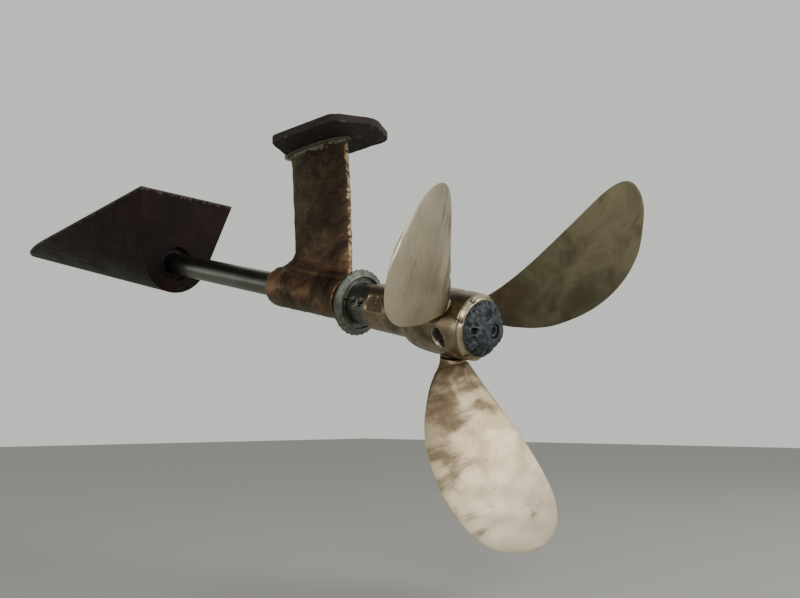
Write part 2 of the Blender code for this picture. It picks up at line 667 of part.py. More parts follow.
def makeHub():
    """Front sleeve, three hub segments with their bolts, and the nose ring."""
    bore = SHAFT_RADIUS + SHAFT_FIT
    sleeveFront = COLLAR_BACK + TOUCH
    sleeve = tube(
        "hub_sleeve", bore, SLEEVE_RADIUS, sleeveFront, HUB_FRONT - TOUCH,
        material=hubBronze, parent=shaftLine,
    )
    reach = 2 * SLEEVE_RADIUS
    for side in (1, -1):
        flat = box(
            f"sleeve_flat_{'port' if side < 0 else 'starboard'}", (reach, reach, SLEEVE_FLAT_LENGTH),
            (side * (SLEEVE_FLAT + reach / 2), 0, sleeveFront + SLEEVE_FLAT_FRONT + SLEEVE_FLAT_LENGTH / 2),
            parent=shaftLine, matrix=Matrix.Rotation(SLEEVE_FLAT_ANGLE, 4, "Z"), cutter=True,
        )
        boolean(sleeve, flat)
    portRadius, cavityRadius = JOURNAL_RADIUS + PORT_CLEARANCE, FLANGE_RADIUS + PORT_CLEARANCE
    cavityTop, cavityFloor = ROOT_FLOOR + FLANGE_HEIGHT + PORT_CLEARANCE, ROOT_FLOOR - PORT_CLEARANCE
    ports = [
        turned(
            f"port_{k + 1}",
            [(0, HUB_RADIUS + CUT_PAST), (portRadius, HUB_RADIUS + CUT_PAST), (portRadius, cavityTop),
             (cavityRadius, cavityTop), (cavityRadius, cavityFloor), (0, cavityFloor)],
            False, parent=shaftLine, matrix=bladeFrame(k), cutter=True,
        )
        for k in range(BLADE_COUNT)
    ]
    outline = [
        (bore, HUB_BACK), (HUB_BACK_RADIUS - HUB_EDGE, HUB_BACK), (HUB_BACK_RADIUS, HUB_BACK - HUB_EDGE),
        (HUB_TAPER_RADIUS, HUB_BACK - HUB_TAPER_LENGTH), (HUB_RADIUS, HUB_FULL_BACK),
        (HUB_RADIUS, HUB_FULL_FRONT), (HUB_SWELL_RADIUS, HUB_FRONT + HUB_SWELL_LENGTH),
        (HUB_SHOULDER_RADIUS, HUB_FRONT + HUB_SHOULDER_LENGTH), (HUB_FRONT_RADIUS, HUB_FRONT),
        (bore, HUB_FRONT),
    ]
    for k in range(BLADE_COUNT):
        name = f"hub_segment_{k + 1}"
        segment = turned(name, outline, True, material=hubBronze, parent=shaftLine)
        mid = FIRST_BLADE + math.tau * (k + 0.5) / BLADE_COUNT
        boolean(segment, hubWedge(f"{name}_wedge", mid), "INTERSECT")
        for port in ports:
            boolean(segment, port)
        place = (
            Matrix.Rotation(mid + HUB_POCKET_TURN, 4, "Z")
            @ Matrix.Translation((HUB_RADIUS, 0, HUB_POCKET_PLACE))
            @ Matrix.Rotation(HUB_POCKET_LEAN, 4, "X")
        )
        boolean(segment, pocketScoop(f"{name}_pocket", place))
        seat = place @ Matrix.Translation((-HUB_BOLT_SUNK, HUB_BOLT_ASIDE, 0))
        seat = seat @ Matrix.Rotation(HUB_BOLT_TILT - math.radians(90), 4, "Z")
        seat = seat @ Matrix.Rotation(math.radians(90), 4, "Y")
        boolean(segment, rod(
            f"{name}_bolt_hole", HUB_BOLT_RADIUS + HUB_BOLT_CLEARANCE, -HUB_BOLT_LENGTH - TOUCH,
            HUB_BOLT_CLEARANCE, parent=shaftLine, matrix=seat, cutter=True,
        ))
        rod(
            f"hub_bolt_{k + 1}", HUB_BOLT_RADIUS, -HUB_BOLT_LENGTH, 0,
            material=steel, parent=shaftLine, matrix=seat,
        )
    noseFront = HUB_BACK + TOUCH
    noseBack = noseFront + NOSE_LENGTH
    hole = ANODE_BOLT_RADIUS + TOUCH
    turned(
        "nose_ring",
        [(hole, noseBack), (HUB_BACK_RADIUS - NOSE_CHAMFER, noseBack),
         (HUB_BACK_RADIUS, noseBack - NOSE_CHAMFER), (HUB_BACK_RADIUS, noseFront + HUB_EDGE),
         (HUB_BACK_RADIUS - HUB_EDGE, noseFront), (hole, noseFront)],
        True, material=hubBronze, parent=shaftLine,
    )
    return noseBack


def pocketScoop(name, place):
    """A stretched ball that scoops the bolt pocket out of the hub's skin."""
    shape = bmesh.new()
    bmesh.ops.create_uvsphere(
        shape, u_segments=SMALL_STEPS, v_segments=SMALL_STEPS // 2, radius=1,
        matrix=Matrix.Diagonal((HUB_POCKET_DEPTH, HUB_POCKET_LENGTH / 2, HUB_POCKET_WIDTH / 2, 1)),
    )
    return addObject(name, meshFrom(name, shape), parent=shaftLine, matrix=place, cutter=True)


def hubWedge(name, mid):
    """A third of a cylinder's room round the shaft, a touch gap short at each side."""
    far = 2 * HUB_RADIUS
    half = math.pi / BLADE_COUNT
    apex = TOUCH / 2 / math.sin(half)
    side = (apex + far * math.cos(half), far * math.sin(half))
    kite = {(-1, -1): (apex, 0), (1, -1): (side[0], -side[1]), (1, 1): (apex + 2 * far, 0), (-1, 1): side}
    shape = bmesh.new()
    bmesh.ops.create_cube(shape, size=2)
    for corner in shape.verts:
        key = (round(corner.co.x), round(corner.co.y))
        corner.co.x, corner.co.y = kite[key]
        corner.co.z *= far
    turn = Matrix.Rotation(mid, 4, "Z")
    return addObject(name, meshFrom(name, shape), parent=shaftLine, matrix=turn, cutter=True)


def makeAnode(noseBack):
    """The zinc cone, the bolt through its middle and the screws round it."""
    base = noseBack + TOUCH
    tip = base + ANODE_LENGTH
    hole = ANODE_BOLT_RADIUS + TOUCH
    seat = tip - ANODE_RECESS_DEPTH
    skin = [(radius, base + ANODE_LENGTH * part) for radius, part in ANODE_SHAPE]
    anode = turned(
        "anode_cone",
        [(hole, seat), (ANODE_RECESS_RADIUS, seat), (ANODE_RECESS_RADIUS, tip), (ANODE_TIP_RADIUS, tip),
         *skin, (ANODE_BASE_RADIUS, base), (hole, base)],
        True, material=zinc, parent=shaftLine,
    )
    turned(
        "anode_bolt",
        screwOutline(ANODE_BOLT_RADIUS, ANODE_BOLT_HEAD_RADIUS, HUB_BACK + 2 * TOUCH,
                     seat + TOUCH, seat + TOUCH + ANODE_BOLT_HEAD),
        False, material=steel, parent=shaftLine,
    )
    screwSeat = base + ANODE_SCREW_SEAT
    for k in range(ANODE_SCREW_COUNT):
        turn = ANODE_SCREW_ANGLE + math.tau * k / ANODE_SCREW_COUNT
        place = Matrix.Rotation(turn, 4, "Z") @ Matrix.Translation((ANODE_SCREW_CIRCLE, 0, 0))
        pocket = rod(
            f"anode_screw_pocket_{k + 1}", ANODE_SCREW_RADIUS + TOUCH, screwSeat, tip + CUT_PAST,
            parent=shaftLine, matrix=place, cutter=True,
        )
        boolean(anode, pocket)
        rod(
            f"anode_screw_{k + 1}", ANODE_SCREW_RADIUS, screwSeat + TOUCH,
            screwSeat + TOUCH + ANODE_SCREW_HEAD, material=steel, parent=shaftLine, matrix=place,
        )


def leafAxes(along):
    """Blade-frame place of the leaf's axis there, and its chord and face-normal directions."""
    pitch = LEAF_PITCH - LEAF_UNTWIST * (along - LEAF_PITCH_AT) / LEAF_UNTWIST_LENGTH
    out = Vector((0, math.sin(LEAF_RAKE), math.cos(LEAF_RAKE)))
    side = Vector((1, 0, 0))
    face = out.cross(side)
    chord = side * math.cos(pitch) + face * math.sin(pitch)
    normal = face * math.cos(pitch) - side * math.sin(pitch)
    bow = LEAF_BOW * ((along - LEAF_BOW_START) / LEAF_UNTWIST_LENGTH) ** 2
    return Vector((0, -LEAF_FORWARD, 0)) + out * along + face * bow, chord, normal


def leafPoint(edge, lift):
    """Blade-frame place of a leaf point from its (along, across), and how far off its middle face."""
    place, chord, normal = leafAxes(edge.x)
    return place + chord * edge.y + normal * lift


def leafThickness(part):
    """Full thickness of the leaf from its root, at 0, to its tip, at 1."""
    if part < LEAF_MIDDLE_PART:
        share = part / LEAF_MIDDLE_PART
        return LEAF_ROOT_THICKNESS + (LEAF_MIDDLE_THICKNESS - LEAF_ROOT_THICKNESS) * share
    share = (part - LEAF_MIDDLE_PART) / (1 - LEAF_MIDDLE_PART)
    return LEAF_MIDDLE_THICKNESS + (LEAF_TIP_THICKNESS - LEAF_MIDDLE_THICKNESS) * share


def leafMesh(name):
    """A ball drawn out into neck and leaf: first rings up the neck, the others up the leaf."""
    leading = smoothRun(LEADING_EDGE, LEAF_RINGS)
    trailing = smoothRun(TRAILING_EDGE, LEAF_RINGS)
    rings = NECK_RINGS + LEAF_RINGS
    foot, middle = Vector(NECK_PLACE), leafPoint(leading[0].lerp(trailing[0], 0.5), 0)
    shape = bmesh.new()
    bmesh.ops.create_uvsphere(shape, u_segments=LEAF_AROUND, v_segments=rings, radius=1)
    for corner in shape.verts:
        ring = round((1 - math.acos(max(-1, min(1, corner.co.z))) / math.pi) * rings)
        width = math.hypot(corner.co.x, corner.co.y)
        across = corner.co.x / width if width > 1e-6 else 0
        off = corner.co.y / width if width > 1e-6 else 0
        step = max(0, ring - NECK_RINGS)
        part = step / LEAF_RINGS
        edge = leading[step].lerp(trailing[step], (across + 1) / 2)
        closing = min(1, math.sqrt(max(0, 1 - part) / LEAF_TIP_ROUNDING))
        place = leafPoint(edge, leafThickness(part) / 2 * off * closing)
        if ring == 0:
            place = foot - Vector((0, 0, NECK_SUNK))
        elif ring < NECK_RINGS:
            up = (ring - 1) / (NECK_RINGS - 1)
            circle = Vector((across, off, 0)) * NECK_RADIUS
            place = foot.lerp(middle, up) + circle.lerp(place - middle, up)
        corner.co = place
    return meshFrom(name, shape)


def makeBlades():
    """Each blade in one piece: leaf, neck, journal and the flange that the hub holds."""
    for k in range(BLADE_COUNT):
        name = f"blade_{k + 1}"
        spindle = addEmpty(f"{name}_spindle", shaftLine, bladeFrame(k))
        root = turned(
            name,
            [(0, ROOT_TOP), (JOURNAL_RADIUS - JOURNAL_EDGE, ROOT_TOP),
             (JOURNAL_RADIUS, ROOT_TOP - JOURNAL_EDGE), (JOURNAL_RADIUS, ROOT_FLOOR + FLANGE_HEIGHT),
             (FLANGE_RADIUS, ROOT_FLOOR + FLANGE_HEIGHT), (FLANGE_RADIUS, ROOT_FLOOR), (0, ROOT_FLOOR)],
            False, material=bladeBronze, parent=spindle,
        )
        leaf = addObject(f"{name}_leaf", leafMesh(f"{name}_leaf"), parent=spindle, cutter=True)
        boolean(root, leaf, "UNION")


clearScene()
pieces = newCollection("propeller")
cutters = newCollection("cutters", hidden=True)

castBronze = makeMaterial("cast bronze, weathered", (0.20, 0.12, 0.07), 0.55, 0.85)
hubBronze = makeMaterial("hub bronze", (0.36, 0.24, 0.15), 0.40, 0.90)
bladeBronze = makeMaterial("blade bronze, buffed", (0.42, 0.38, 0.30), 0.38, 0.90)
brass = makeMaterial("brass bearing shell", (0.45, 0.30, 0.14), 0.35, 0.95)
rubber = makeMaterial("bearing rubber", (0.02, 0.02, 0.02), 0.70, 0.0)
steel = makeMaterial("stainless shaft steel", (0.40, 0.40, 0.40), 0.25, 1.0)
cutterSteel = makeMaterial("cutter steel", (0.28, 0.28, 0.27), 0.40, 0.95)
zinc = makeMaterial("zinc, corroded", (0.09, 0.10, 0.12), 0.75, 0.30)
antifouling = makeMaterial("dark red antifouling", (0.035, 0.018, 0.017), 0.65, 0.0)
sealant = makeMaterial("hull sealant", (0.45, 0.43, 0.38), 0.60, 0.0)

strutFrame = addEmpty("strut_frame", None, Matrix.Identity(4))
shaftTilt = Matrix.Rotation(math.radians(90) + SHAFT_SLOPE, 4, "X")
shaftMiddle = Matrix.Translation((0, -PROP_BEHIND_PALM, -PROP_BELOW_PALM))
shaftLine = addEmpty("shaft_line", None, shaftMiddle @ shaftTilt)
bpy.context.view_layer.update()

makeStrut()
makeStrutFittings()
makeLog()
makeShaft()
makeCutter()
makeAnode(makeHub())
makeBlades()
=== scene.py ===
import math
from functools import partial, reduce

import bpy
import bmesh
import numpy as np
from mathutils import Matrix, Vector


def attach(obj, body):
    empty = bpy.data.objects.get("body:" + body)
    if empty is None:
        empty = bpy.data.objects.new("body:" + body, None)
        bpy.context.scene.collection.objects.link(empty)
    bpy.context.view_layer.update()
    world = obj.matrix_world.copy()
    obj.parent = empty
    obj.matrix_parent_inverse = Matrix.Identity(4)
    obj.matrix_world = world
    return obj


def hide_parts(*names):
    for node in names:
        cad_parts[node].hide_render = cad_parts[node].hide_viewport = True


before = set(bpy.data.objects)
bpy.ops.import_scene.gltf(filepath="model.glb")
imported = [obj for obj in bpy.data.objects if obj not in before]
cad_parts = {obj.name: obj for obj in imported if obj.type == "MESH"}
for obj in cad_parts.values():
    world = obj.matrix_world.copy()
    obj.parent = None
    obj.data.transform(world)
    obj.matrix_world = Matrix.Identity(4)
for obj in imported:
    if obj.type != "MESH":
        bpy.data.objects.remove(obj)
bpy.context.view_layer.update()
print("frame loaded:", len(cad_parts), "nodes")

# The camera stands below and abaft the propeller on the port side and looks up at it
cameraPlace = {"location": (-0.7805, -0.8705, -0.4238), "right": (0.6810, -0.7324, 0.0),
               "up": (-0.1084, -0.1006, 0.9890), "lens": 36.36, "sensor": 36.0}


def makeCamera(place):
    camera = bpy.data.objects.new("camera", bpy.data.cameras.new("camera"))
    right, up = Vector(place["right"]).normalized(), Vector(place["up"])
    up = (up - right * up.dot(right)).normalized()
    turn = Matrix((right, up, right.cross(up))).transposed().to_4x4()
    camera.matrix_world = Matrix.Translation(place["location"]) @ turn
    camera.data.lens = place["lens"]
    camera.data.sensor_width = place["sensor"]
    camera.data.clip_start = 0.01
    bpy.context.scene.collection.objects.link(camera)
    bpy.context.scene.camera = camera


makeCamera(cameraPlace)

# The shaft line drops toward the stern through the propeller's middle, and its own axes are
# starboard, up and aft
shaftPlace = {"middle": (0.0, -0.2225, -0.3), "slopeDegrees": 13.9}
slope = math.radians(shaftPlace["slopeDegrees"])
shaftMiddle = np.array(shaftPlace["middle"])
shaftAxes = np.array(((1, 0, 0), (0, -math.sin(slope), math.cos(slope)),
                      (0, -math.cos(slope), -math.sin(slope))))


def onShaft(points):
    # world place = the propeller's middle + each coordinate times its own axis
    return shaftMiddle + points @ shaftAxes


def ripple(points, size, seed, waves=30):
    # sum of sine waves in random directions, each about one size long, so it runs from -1 to 1
    chance = np.random.default_rng(seed)
    ways = chance.normal(size=(waves, 3))
    ways /= np.linalg.norm(ways, axis=1, keepdims=True)
    ways *= 2 * np.pi / size * chance.uniform(0.6, 1.6, (waves, 1))
    return np.sin(points @ ways.T + chance.uniform(0, 2 * np.pi, waves)).sum(-1) / math.sqrt(2 * waves)


def smooth(value, low, high):
    # smooth step: 0 below low, 1 above high, 3t2 - 2t3 between
    part = np.clip((value - low) / (high - low), 0, 1)
    return part * part * (3 - 2 * part)


def distances(run):
    # how far along a line of points each of them lies
    return np.concatenate(([0], np.cumsum(np.linalg.norm(np.diff(run, axis=0), axis=1))))


def softProfile(corners, cut, spacing, closed=False):
    # corners cut back by a length and bridged by parabolas, then points at an even spacing
    corners = np.array(corners, float)
    count = len(corners)
    cuts = np.broadcast_to(cut, count)
    run = []
    for k in range(count):
        if not closed and k in (0, count - 1):
            run.append(corners[k:k + 1])
            continue
        before, after = corners[k - 1] - corners[k], corners[(k + 1) % count] - corners[k]
        start = corners[k] + before * min(0.45, cuts[k] / np.linalg.norm(before))
        end = corners[k] + after * min(0.45, cuts[k] / np.linalg.norm(after))
        part = np.linspace(0, 1, 6)[:, None]
        run.append((1 - part) ** 2 * start + 2 * part * (1 - part) * corners[k] + part ** 2 * end)
    run = np.concatenate(run + ([run[0][:1]] if closed else []))
    reach = distances(run)
    marks = np.linspace(0, reach[-1], max(3, round(reach[-1] / spacing) + 1))
    marks = np.sort(np.concatenate((marks, reach)))
    marks = marks[np.concatenate(([True], np.diff(marks) > spacing * 0.08))]
    points = np.column_stack([np.interp(marks, reach, run[:, i]) for i in (0, 1)])
    return points[:-1] if closed else points


def thinned(profile, hidden):
    # one point in twelve stays on the straight stretches that other pieces hide
    return profile[~hidden | (np.arange(len(profile)) % 12 == 0)]


def turnedGrid(profile, steps, start=0.0, span=2 * np.pi):
    # each profile point (radius, along) carried round the shaft: (r cos, r sin, along)
    full = span > 2 * np.pi - 1e-6
    turns = start + span * (np.arange(steps) / steps if full else np.linspace(0, 1, steps))
    radius, along = profile[:, 0][:, None], profile[:, 1][:, None]
    return np.stack((radius * np.cos(turns), radius * np.sin(turns), along + 0 * turns), -1)


def polar(grid):
    # each point's distance from the shaft's middle line, and its turn round it
    return np.hypot(grid[..., 0], grid[..., 1]), np.arctan2(grid[..., 1], grid[..., 0])


def turnedAbout(grid, turn):
    # a grid turned round the shaft: x cos - y sin, x sin + y cos
    x, y = (math.cos(turn), math.sin(turn), 0), (-math.sin(turn), math.cos(turn), 0)
    return grid @ np.array((x, y, (0, 0, 1)))


def meshArrays(mesh):
    # every corner's place and every corner's normal, one row each
    points = np.empty(len(mesh.vertices) * 3)
    mesh.vertices.foreach_get("co", points)
    normals = np.empty(len(mesh.vertices) * 3)
    mesh.vertex_normals.foreach_get("vector", normals)
    return points.reshape(-1, 3), normals.reshape(-1, 3)


def addMark(piece, name, values):
    # a number, or a place of three, for every corner, which a material reads by its name
    kind, field, width = ("FLOAT_VECTOR", "vector", 3) if name == "own" else ("FLOAT", "value", 1)
    flat = np.zeros(len(piece.data.vertices) * width)
    flat[:values.size] = values.ravel()
    piece.data.attributes.new(name, kind, "POINT").data.foreach_set(field, flat)


def markEdges(piece, passes):
    # mark "edge": how far a corner stands proud of the same skin after smoothing passes, as a share of
    # the smoothing's reach: near 1 on a sharp edge, 0 on a flat, below 0 in a hollow
    mesh = piece.data
    points, normals = meshArrays(mesh)
    ends = np.empty(len(mesh.edges) * 2, int)
    mesh.edges.foreach_get("vertices", ends)
    a, b = ends.reshape(-1, 2).T
    count = np.bincount(ends, minlength=len(points))
    soft = points
    for _ in range(passes):
        around = [np.bincount(a, soft[b, i], len(points)) + np.bincount(b, soft[a, i], len(points))
                  for i in range(3)]
        soft = 0.5 * soft + 0.5 * np.stack(around, 1) / np.maximum(count, 1)[:, None]
    lengths = np.linalg.norm(points[a] - points[b], axis=1)
    reach = 0.5 * lengths[lengths < 3 * np.median(lengths)].mean() * math.sqrt(passes)
    addMark(piece, "edge", ((points - soft) * normals).sum(1) / reach)


def pushOut(piece, amount):
    # moves each corner along its normal by its own amount
    points, normals = meshArrays(piece.data)
    points += normals * amount(points)[:, None]
    piece.data.vertices.foreach_set("co", points.ravel())
    piece.data.update()


def finishPiece(piece, node, material, body="shaft_line", sharp=40):
    # smooth shading broken at sharp edges, a material, and its place in the frame. Unless the piece
    # brought its own, mark "own" is each corner's place in the shaft's axes
    mesh = piece.data
    if "own" not in mesh.attributes:
        addMark(piece, "own", (meshArrays(mesh)[0] - shaftMiddle) @ shaftAxes.T)
    mesh.shade_smooth()
    mesh.set_sharp_from_angle(angle=math.radians(sharp))
    mesh.materials.clear()
    mesh.materials.append(material)
    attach(piece, body)
    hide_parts(node)


def newPiece(name, mesh):
    # an object in the scene for a mesh
    piece = bpy.data.objects.new(name, mesh)
    bpy.context.scene.collection.objects.link(piece)
    return piece


def shellFaces(rings, around, ends):
    # four-cornered faces between neighbouring rings. Ends are closed by a point, a flat face, or a ring
    index = np.arange(rings * around).reshape(rings, around)
    if ends == "ring":
        index = np.vstack((index, index[:1]))
    low, high = index[:-1], index[1:]
    faces = np.stack((low, np.roll(low, -1, 1), np.roll(high, -1, 1), high), -1).reshape(-1, 4).tolist()
    if ends == "point":
        tips = rings * around
        faces += [[b, a, tips] for a, b in zip(index[0], np.roll(index[0], -1))]
        faces += [[a, b, tips + 1] for a, b in zip(index[-1], np.roll(index[-1], -1))]
    if ends == "flat":
        faces += [index[0][::-1].tolist(), index[-1].tolist()]
    return faces


def makeShell(name, node, grid, ends, material, slot, body="shaft_line", marks=(), passes=0, sharp=40):
    # a finished piece from a grid of rings by points in the shaft's axes. Its faces look outward, which its
    # volume tells: the sum of a . (b x c) over triangles seen from the middle is above 0
    grid = onShaft(grid)
    points, faces = grid.reshape(-1, 3), shellFaces(*grid.shape[:2], ends)
    if ends == "point":
        points = np.vstack((points, grid[0].mean(0), grid[-1].mean(0)))
    corners = [face[:3] for face in faces] + [[face[0], *face[2:]] for face in faces if len(face) == 4]
    a, b, c = (points - points.mean(0))[np.array(corners)].transpose(1, 0, 2)
    if (a * np.cross(b, c)).sum() < 0:
        faces = [face[::-1] for face in faces]
    mesh = bpy.data.meshes.new(name)
    mesh.from_pydata(points, [], faces)
    mesh.update()
    piece = newPiece(name, mesh)
    for mark, values in dict(marks).items():
        addMark(piece, mark, values)
    if passes:
        markEdges(piece, passes)
    finishPiece(piece, node, material, body, sharp)


def mergedCopy(name, node):
    # the CAD solid's own mesh, its corners merged and its flat faces joined
    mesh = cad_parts[node].data.copy()
    shape = bmesh.new()
    shape.from_mesh(mesh)
    bmesh.ops.remove_doubles(shape, verts=shape.verts, dist=0.00001)
    bmesh.ops.dissolve_limit(shape, angle_limit=math.radians(0.5), verts=shape.verts, edges=shape.edges)
    shape.to_mesh(mesh)
    shape.free()
    mesh.name = name
    return newPiece(name, mesh)


def castCopy(name, node, voxel, rounding):
    # the CAD solid wrapped again in small even faces and smoothed, which rounds its edges like a casting
    piece = mergedCopy(name, node)
    wrap = piece.modifiers.new("wrap", "REMESH")
    wrap.mode = "VOXEL"
    wrap.voxel_size = voxel
    soften = piece.modifiers.new("soften", "SMOOTH")
    soften.factor = 0.5
    soften.iterations = rounding
    fresh = bpy.data.meshes.new_from_object(piece.evaluated_get(bpy.context.evaluated_depsgraph_get()))
    piece.modifiers.clear()
    piece.data = fresh
    return piece


# Materials
inputOrder = {"TexNoise": ("Vector", "Scale", "Detail", "Roughness", "Distortion"),
              "Bump": ("Height", "Strength", "Distance", "Normal")}


def tone(hexColour):
    # sRGB hex to linear: c / 12.92 below 0.04045, else ((c + 0.055) / 1.055) to the power 2.4
    parts = [int(hexColour[i:i + 2], 16) / 255 for i in (1, 3, 5)]
    return tuple(c / 12.92 if c < 0.04045 else ((c + 0.055) / 1.055) ** 2.4 for c in parts) + (1.0,)


def addNode(tree, kind, inputs=(), out=0, stops=None, **settings):
    # adds a node with its settings and its inputs, by number or in their order, and gives back one output
    node = tree.nodes.new("ShaderNode" + kind)
    for name, value in settings.items():
        setattr(node, name, value)
    order = inputOrder.get(kind, range(len(inputs)))
    for name, value in inputs.items() if isinstance(inputs, dict) else zip(order, inputs):
        if isinstance(value, bpy.types.NodeSocket):
            tree.links.new(value, node.inputs[name])
        else:
            node.inputs[name].default_value = value
    if stops:
        ramp = node.color_ramp
        ramp.elements[0].position, ramp.elements[0].color = stops[0][0], tone(stops[0][1])
        ramp.elements[1].position, ramp.elements[1].color = stops[-1][0], tone(stops[-1][1])
        for position, colour in stops[1:-1]:
            ramp.elements.new(position).color = tone(colour)
    return node.outputs[out]


def newMaterial(name):
    # a material, and addNode bound to its tree
    material = bpy.data.materials.new(name)
    material.use_nodes = True
    return material, partial(addNode, material.node_tree)


def layered(add, colour, rows):
    # layers over a colour: while a row's source runs from low to high, its tone covers from nothing to its
    # share of what lies under it. Gives back the new colour and every layer's mask
    masks = []
    for source, low, high, share, cover in rows:
        masks.append(add("MapRange", (source, low, high, 0.0, share)))
        colour = add("Mix", {0: masks[-1], 6: colour, 7: tone(cover)}, 2, data_type="RGBA")
    return colour, masks


def shifted(add, measure, source, *span):
    # a measure + a source, which is first mapped from two values to two others. A noise frays it this way
    return add("Math", (measure, add("MapRange", (source, *span))), operation="ADD")


def finishMaterial(material, add, bumps, **sockets):
    # bumps (height, strength, distance) one upon another, then every socket of the material's shader
    for height, strength, distance in bumps:
        under = [sockets["Normal"]] if "Normal" in sockets else []
        sockets["Normal"] = add("Bump", (height, strength, distance, *under), "Normal")
    tree = material.node_tree
    for name, value in sockets.items():
        socket = tree.nodes["Principled BSDF"].inputs[name.replace("_", " ")]
        if isinstance(value, bpy.types.NodeSocket):
            tree.links.new(value, socket)
        else:
            socket.default_value = value
    return material


# Strut: bronze, sand cast. It gives a dark brown skin worn through in soft tan patches, green toward the
# leading edge, pink copper where the bearing end is rubbed, and bright ragged edges. Its palm is painted.
# Each noise is size, detail, roughness and distortion
castBronzeLook = {
    "noise": ((0.050, 6.0, 0.58, 0.9), (0.008, 6.0, 0.6, 0.0), (0.024, 5.0, 0.62, 1.1),
              (0.020, 7.0, 0.66, 0.0), (0.0015, 3.0, 0.5, 0.0)),
    "tones": ((0.33, "#382d23"), (0.44, "#4c3d2f"), (0.53, "#5e4b39"), (0.62, "#736046"), (0.74, "#584735")),
    "bandEnd": -0.300, "barrelTop": 0.027, "palm": -0.0128, "smear": 0.009,
    "hole": (-0.0110, 0.0344, -0.1160), "holeRadius": 0.0015}


def makeCastBronze(look):
    material, add = newMaterial("cast bronze, weathered")
    place = add("TexCoord", out="Object")
    own = add("Attribute", out="Vector", attribute_name="own")
    edge, strip = (add("Attribute", out="Fac", attribute_name=name) for name in ("edge", "strip"))
    y, z = (add("SeparateXYZ", [place], k) for k in (1, 2))
    lift, along = (add("SeparateXYZ", [own], k) for k in (1, 2))
    down = add("SeparateXYZ", [add("TexCoord", out="Normal")], 2)
    mottle, ragged, flake, green, grain = (add("TexNoise", (place, 1 / size, *rest))
                                           for size, *rest in look["noise"])
    end = shifted(add, along, flake, 0.3, 0.7, -0.02, 0.02)
    worn = shifted(add, add("Math", (edge, strip), operation="MAXIMUM"), ragged, 0.32, 0.68, -0.42, 0.34)
    smear = shifted(add, z, ragged, 0.3, 0.7, -0.006, 0.006)
    # products: gold low on the arm, green toward its leading edge, copper band at the barrel's front
    low, green, band = (
        reduce(lambda a, b: add("Math", (a, b), operation="MULTIPLY"), [add("MapRange", row) for row in rows])
        for rows in (
            ((z, -0.13, -0.235), (mottle, 0.42, 0.60)),
            ((green, 0.40, 0.58), (y, 0.030, 0.075, 0.05, 0.9), (z, -0.215, -0.08, 0.1, 1.0)),
            ((end, look["bandEnd"] + 0.003, look["bandEnd"]),
             (lift, look["barrelTop"], look["barrelTop"] - 0.004), (mottle, 0.42, 0.55, 0.35, 1.0))))
    # the small hole is not cut into the casting: a near black spot of painted shade stands for its inside
    hole = add("VectorMath", (place, look["hole"]), 1, operation="DISTANCE")
    # skin left in flakes, shade under the palm, gold, green, copper, green grey underneath, worn edges,
    # dark corners, a small hole painted as a near black spot of painted shade, and a pale smear of bedding
    # sealant just under the palm
    colour, masks = layered(add, add("ValToRGB", [mottle], stops=look["tones"]), (
        (flake, 0.48, 0.53, 0.55, "#43352a"), (z, -0.19, -0.04, 0.7, "#352b22"),
        (low, 0.0, 1.0, 0.75, "#8b6848"), (green, 0.0, 1.0, 0.85, "#565c36"),
        (band, 0.0, 1.0, 0.75, "#a47d63"), (down, -0.35, -0.8, 0.6, "#6a6448"),
        (worn, 0.38, 0.60, 0.8, "#a8926f"), (edge, -0.06, -0.35, 0.8, "#1c150e"),
        (hole, look["holeRadius"] * 1.4, look["holeRadius"], 1.0, "#0e0b08"),
        (smear, look["palm"] - look["smear"], look["palm"] - 0.006, 0.8, "#7d7a66")))
    skin, green, worn, smear = (masks[k] for k in (0, 3, 6, 9))
    paint = add("MapRange", (z, look["palm"], look["palm"] + 0.0008))
    paintColour = add("Mix", {0: worn, 6: tone("#2a201d"), 7: tone("#6d655b")}, 2, data_type="RGBA")
    colour = add("Mix", {0: paint, 6: colour, 7: paintColour}, 2, data_type="RGBA")
    dull = reduce(lambda a, b: add("Math", (a, b), operation="MAXIMUM"), (green, smear, paint))
    rough = add("Mix", {0: worn, 2: add("MapRange", (mottle, 0.35, 0.65, 0.60, 0.44)), 3: 0.34})
    bumps = ((mottle, 0.6, 0.0030), (skin, 0.55, 0.0005), (grain, 0.25, 0.0002))
    return finishMaterial(material, add, bumps, Base_Color=colour,
                          Metallic=add("MapRange", (dull, 0.0, 1.0, 0.80, 0.0)),
                          Roughness=shifted(add, rough, dull, 0.0, 1.0, 0.0, 0.22))


# Hub: manganese bronze, turned and tumbled. It gives a satin brown metal with faint turning marks, copper
# beside the blade roots, a polished rim on the nose ring made paler as a painted highlight, and dark grime in
# its pockets and seams.
# From here on a stretched noise has a scale along each axis, one over its size
hubBronzeLook = {
    "noise": (([1 / 0.030] * 3, 5.0, 0.55, 0.8), ([1 / 0.010] * 3, 7.0, 0.65, 0.0),
              ([1 / 0.016] * 3, 4.0, 0.5, 0.0), ((5, 5, 1 / 0.0012), 3.0, 0.5, 0.0)),
    "tones": ((0.32, "#6a6150"), (0.45, "#8a7d66"), (0.56, "#a29478"), (0.70, "#867961"))}


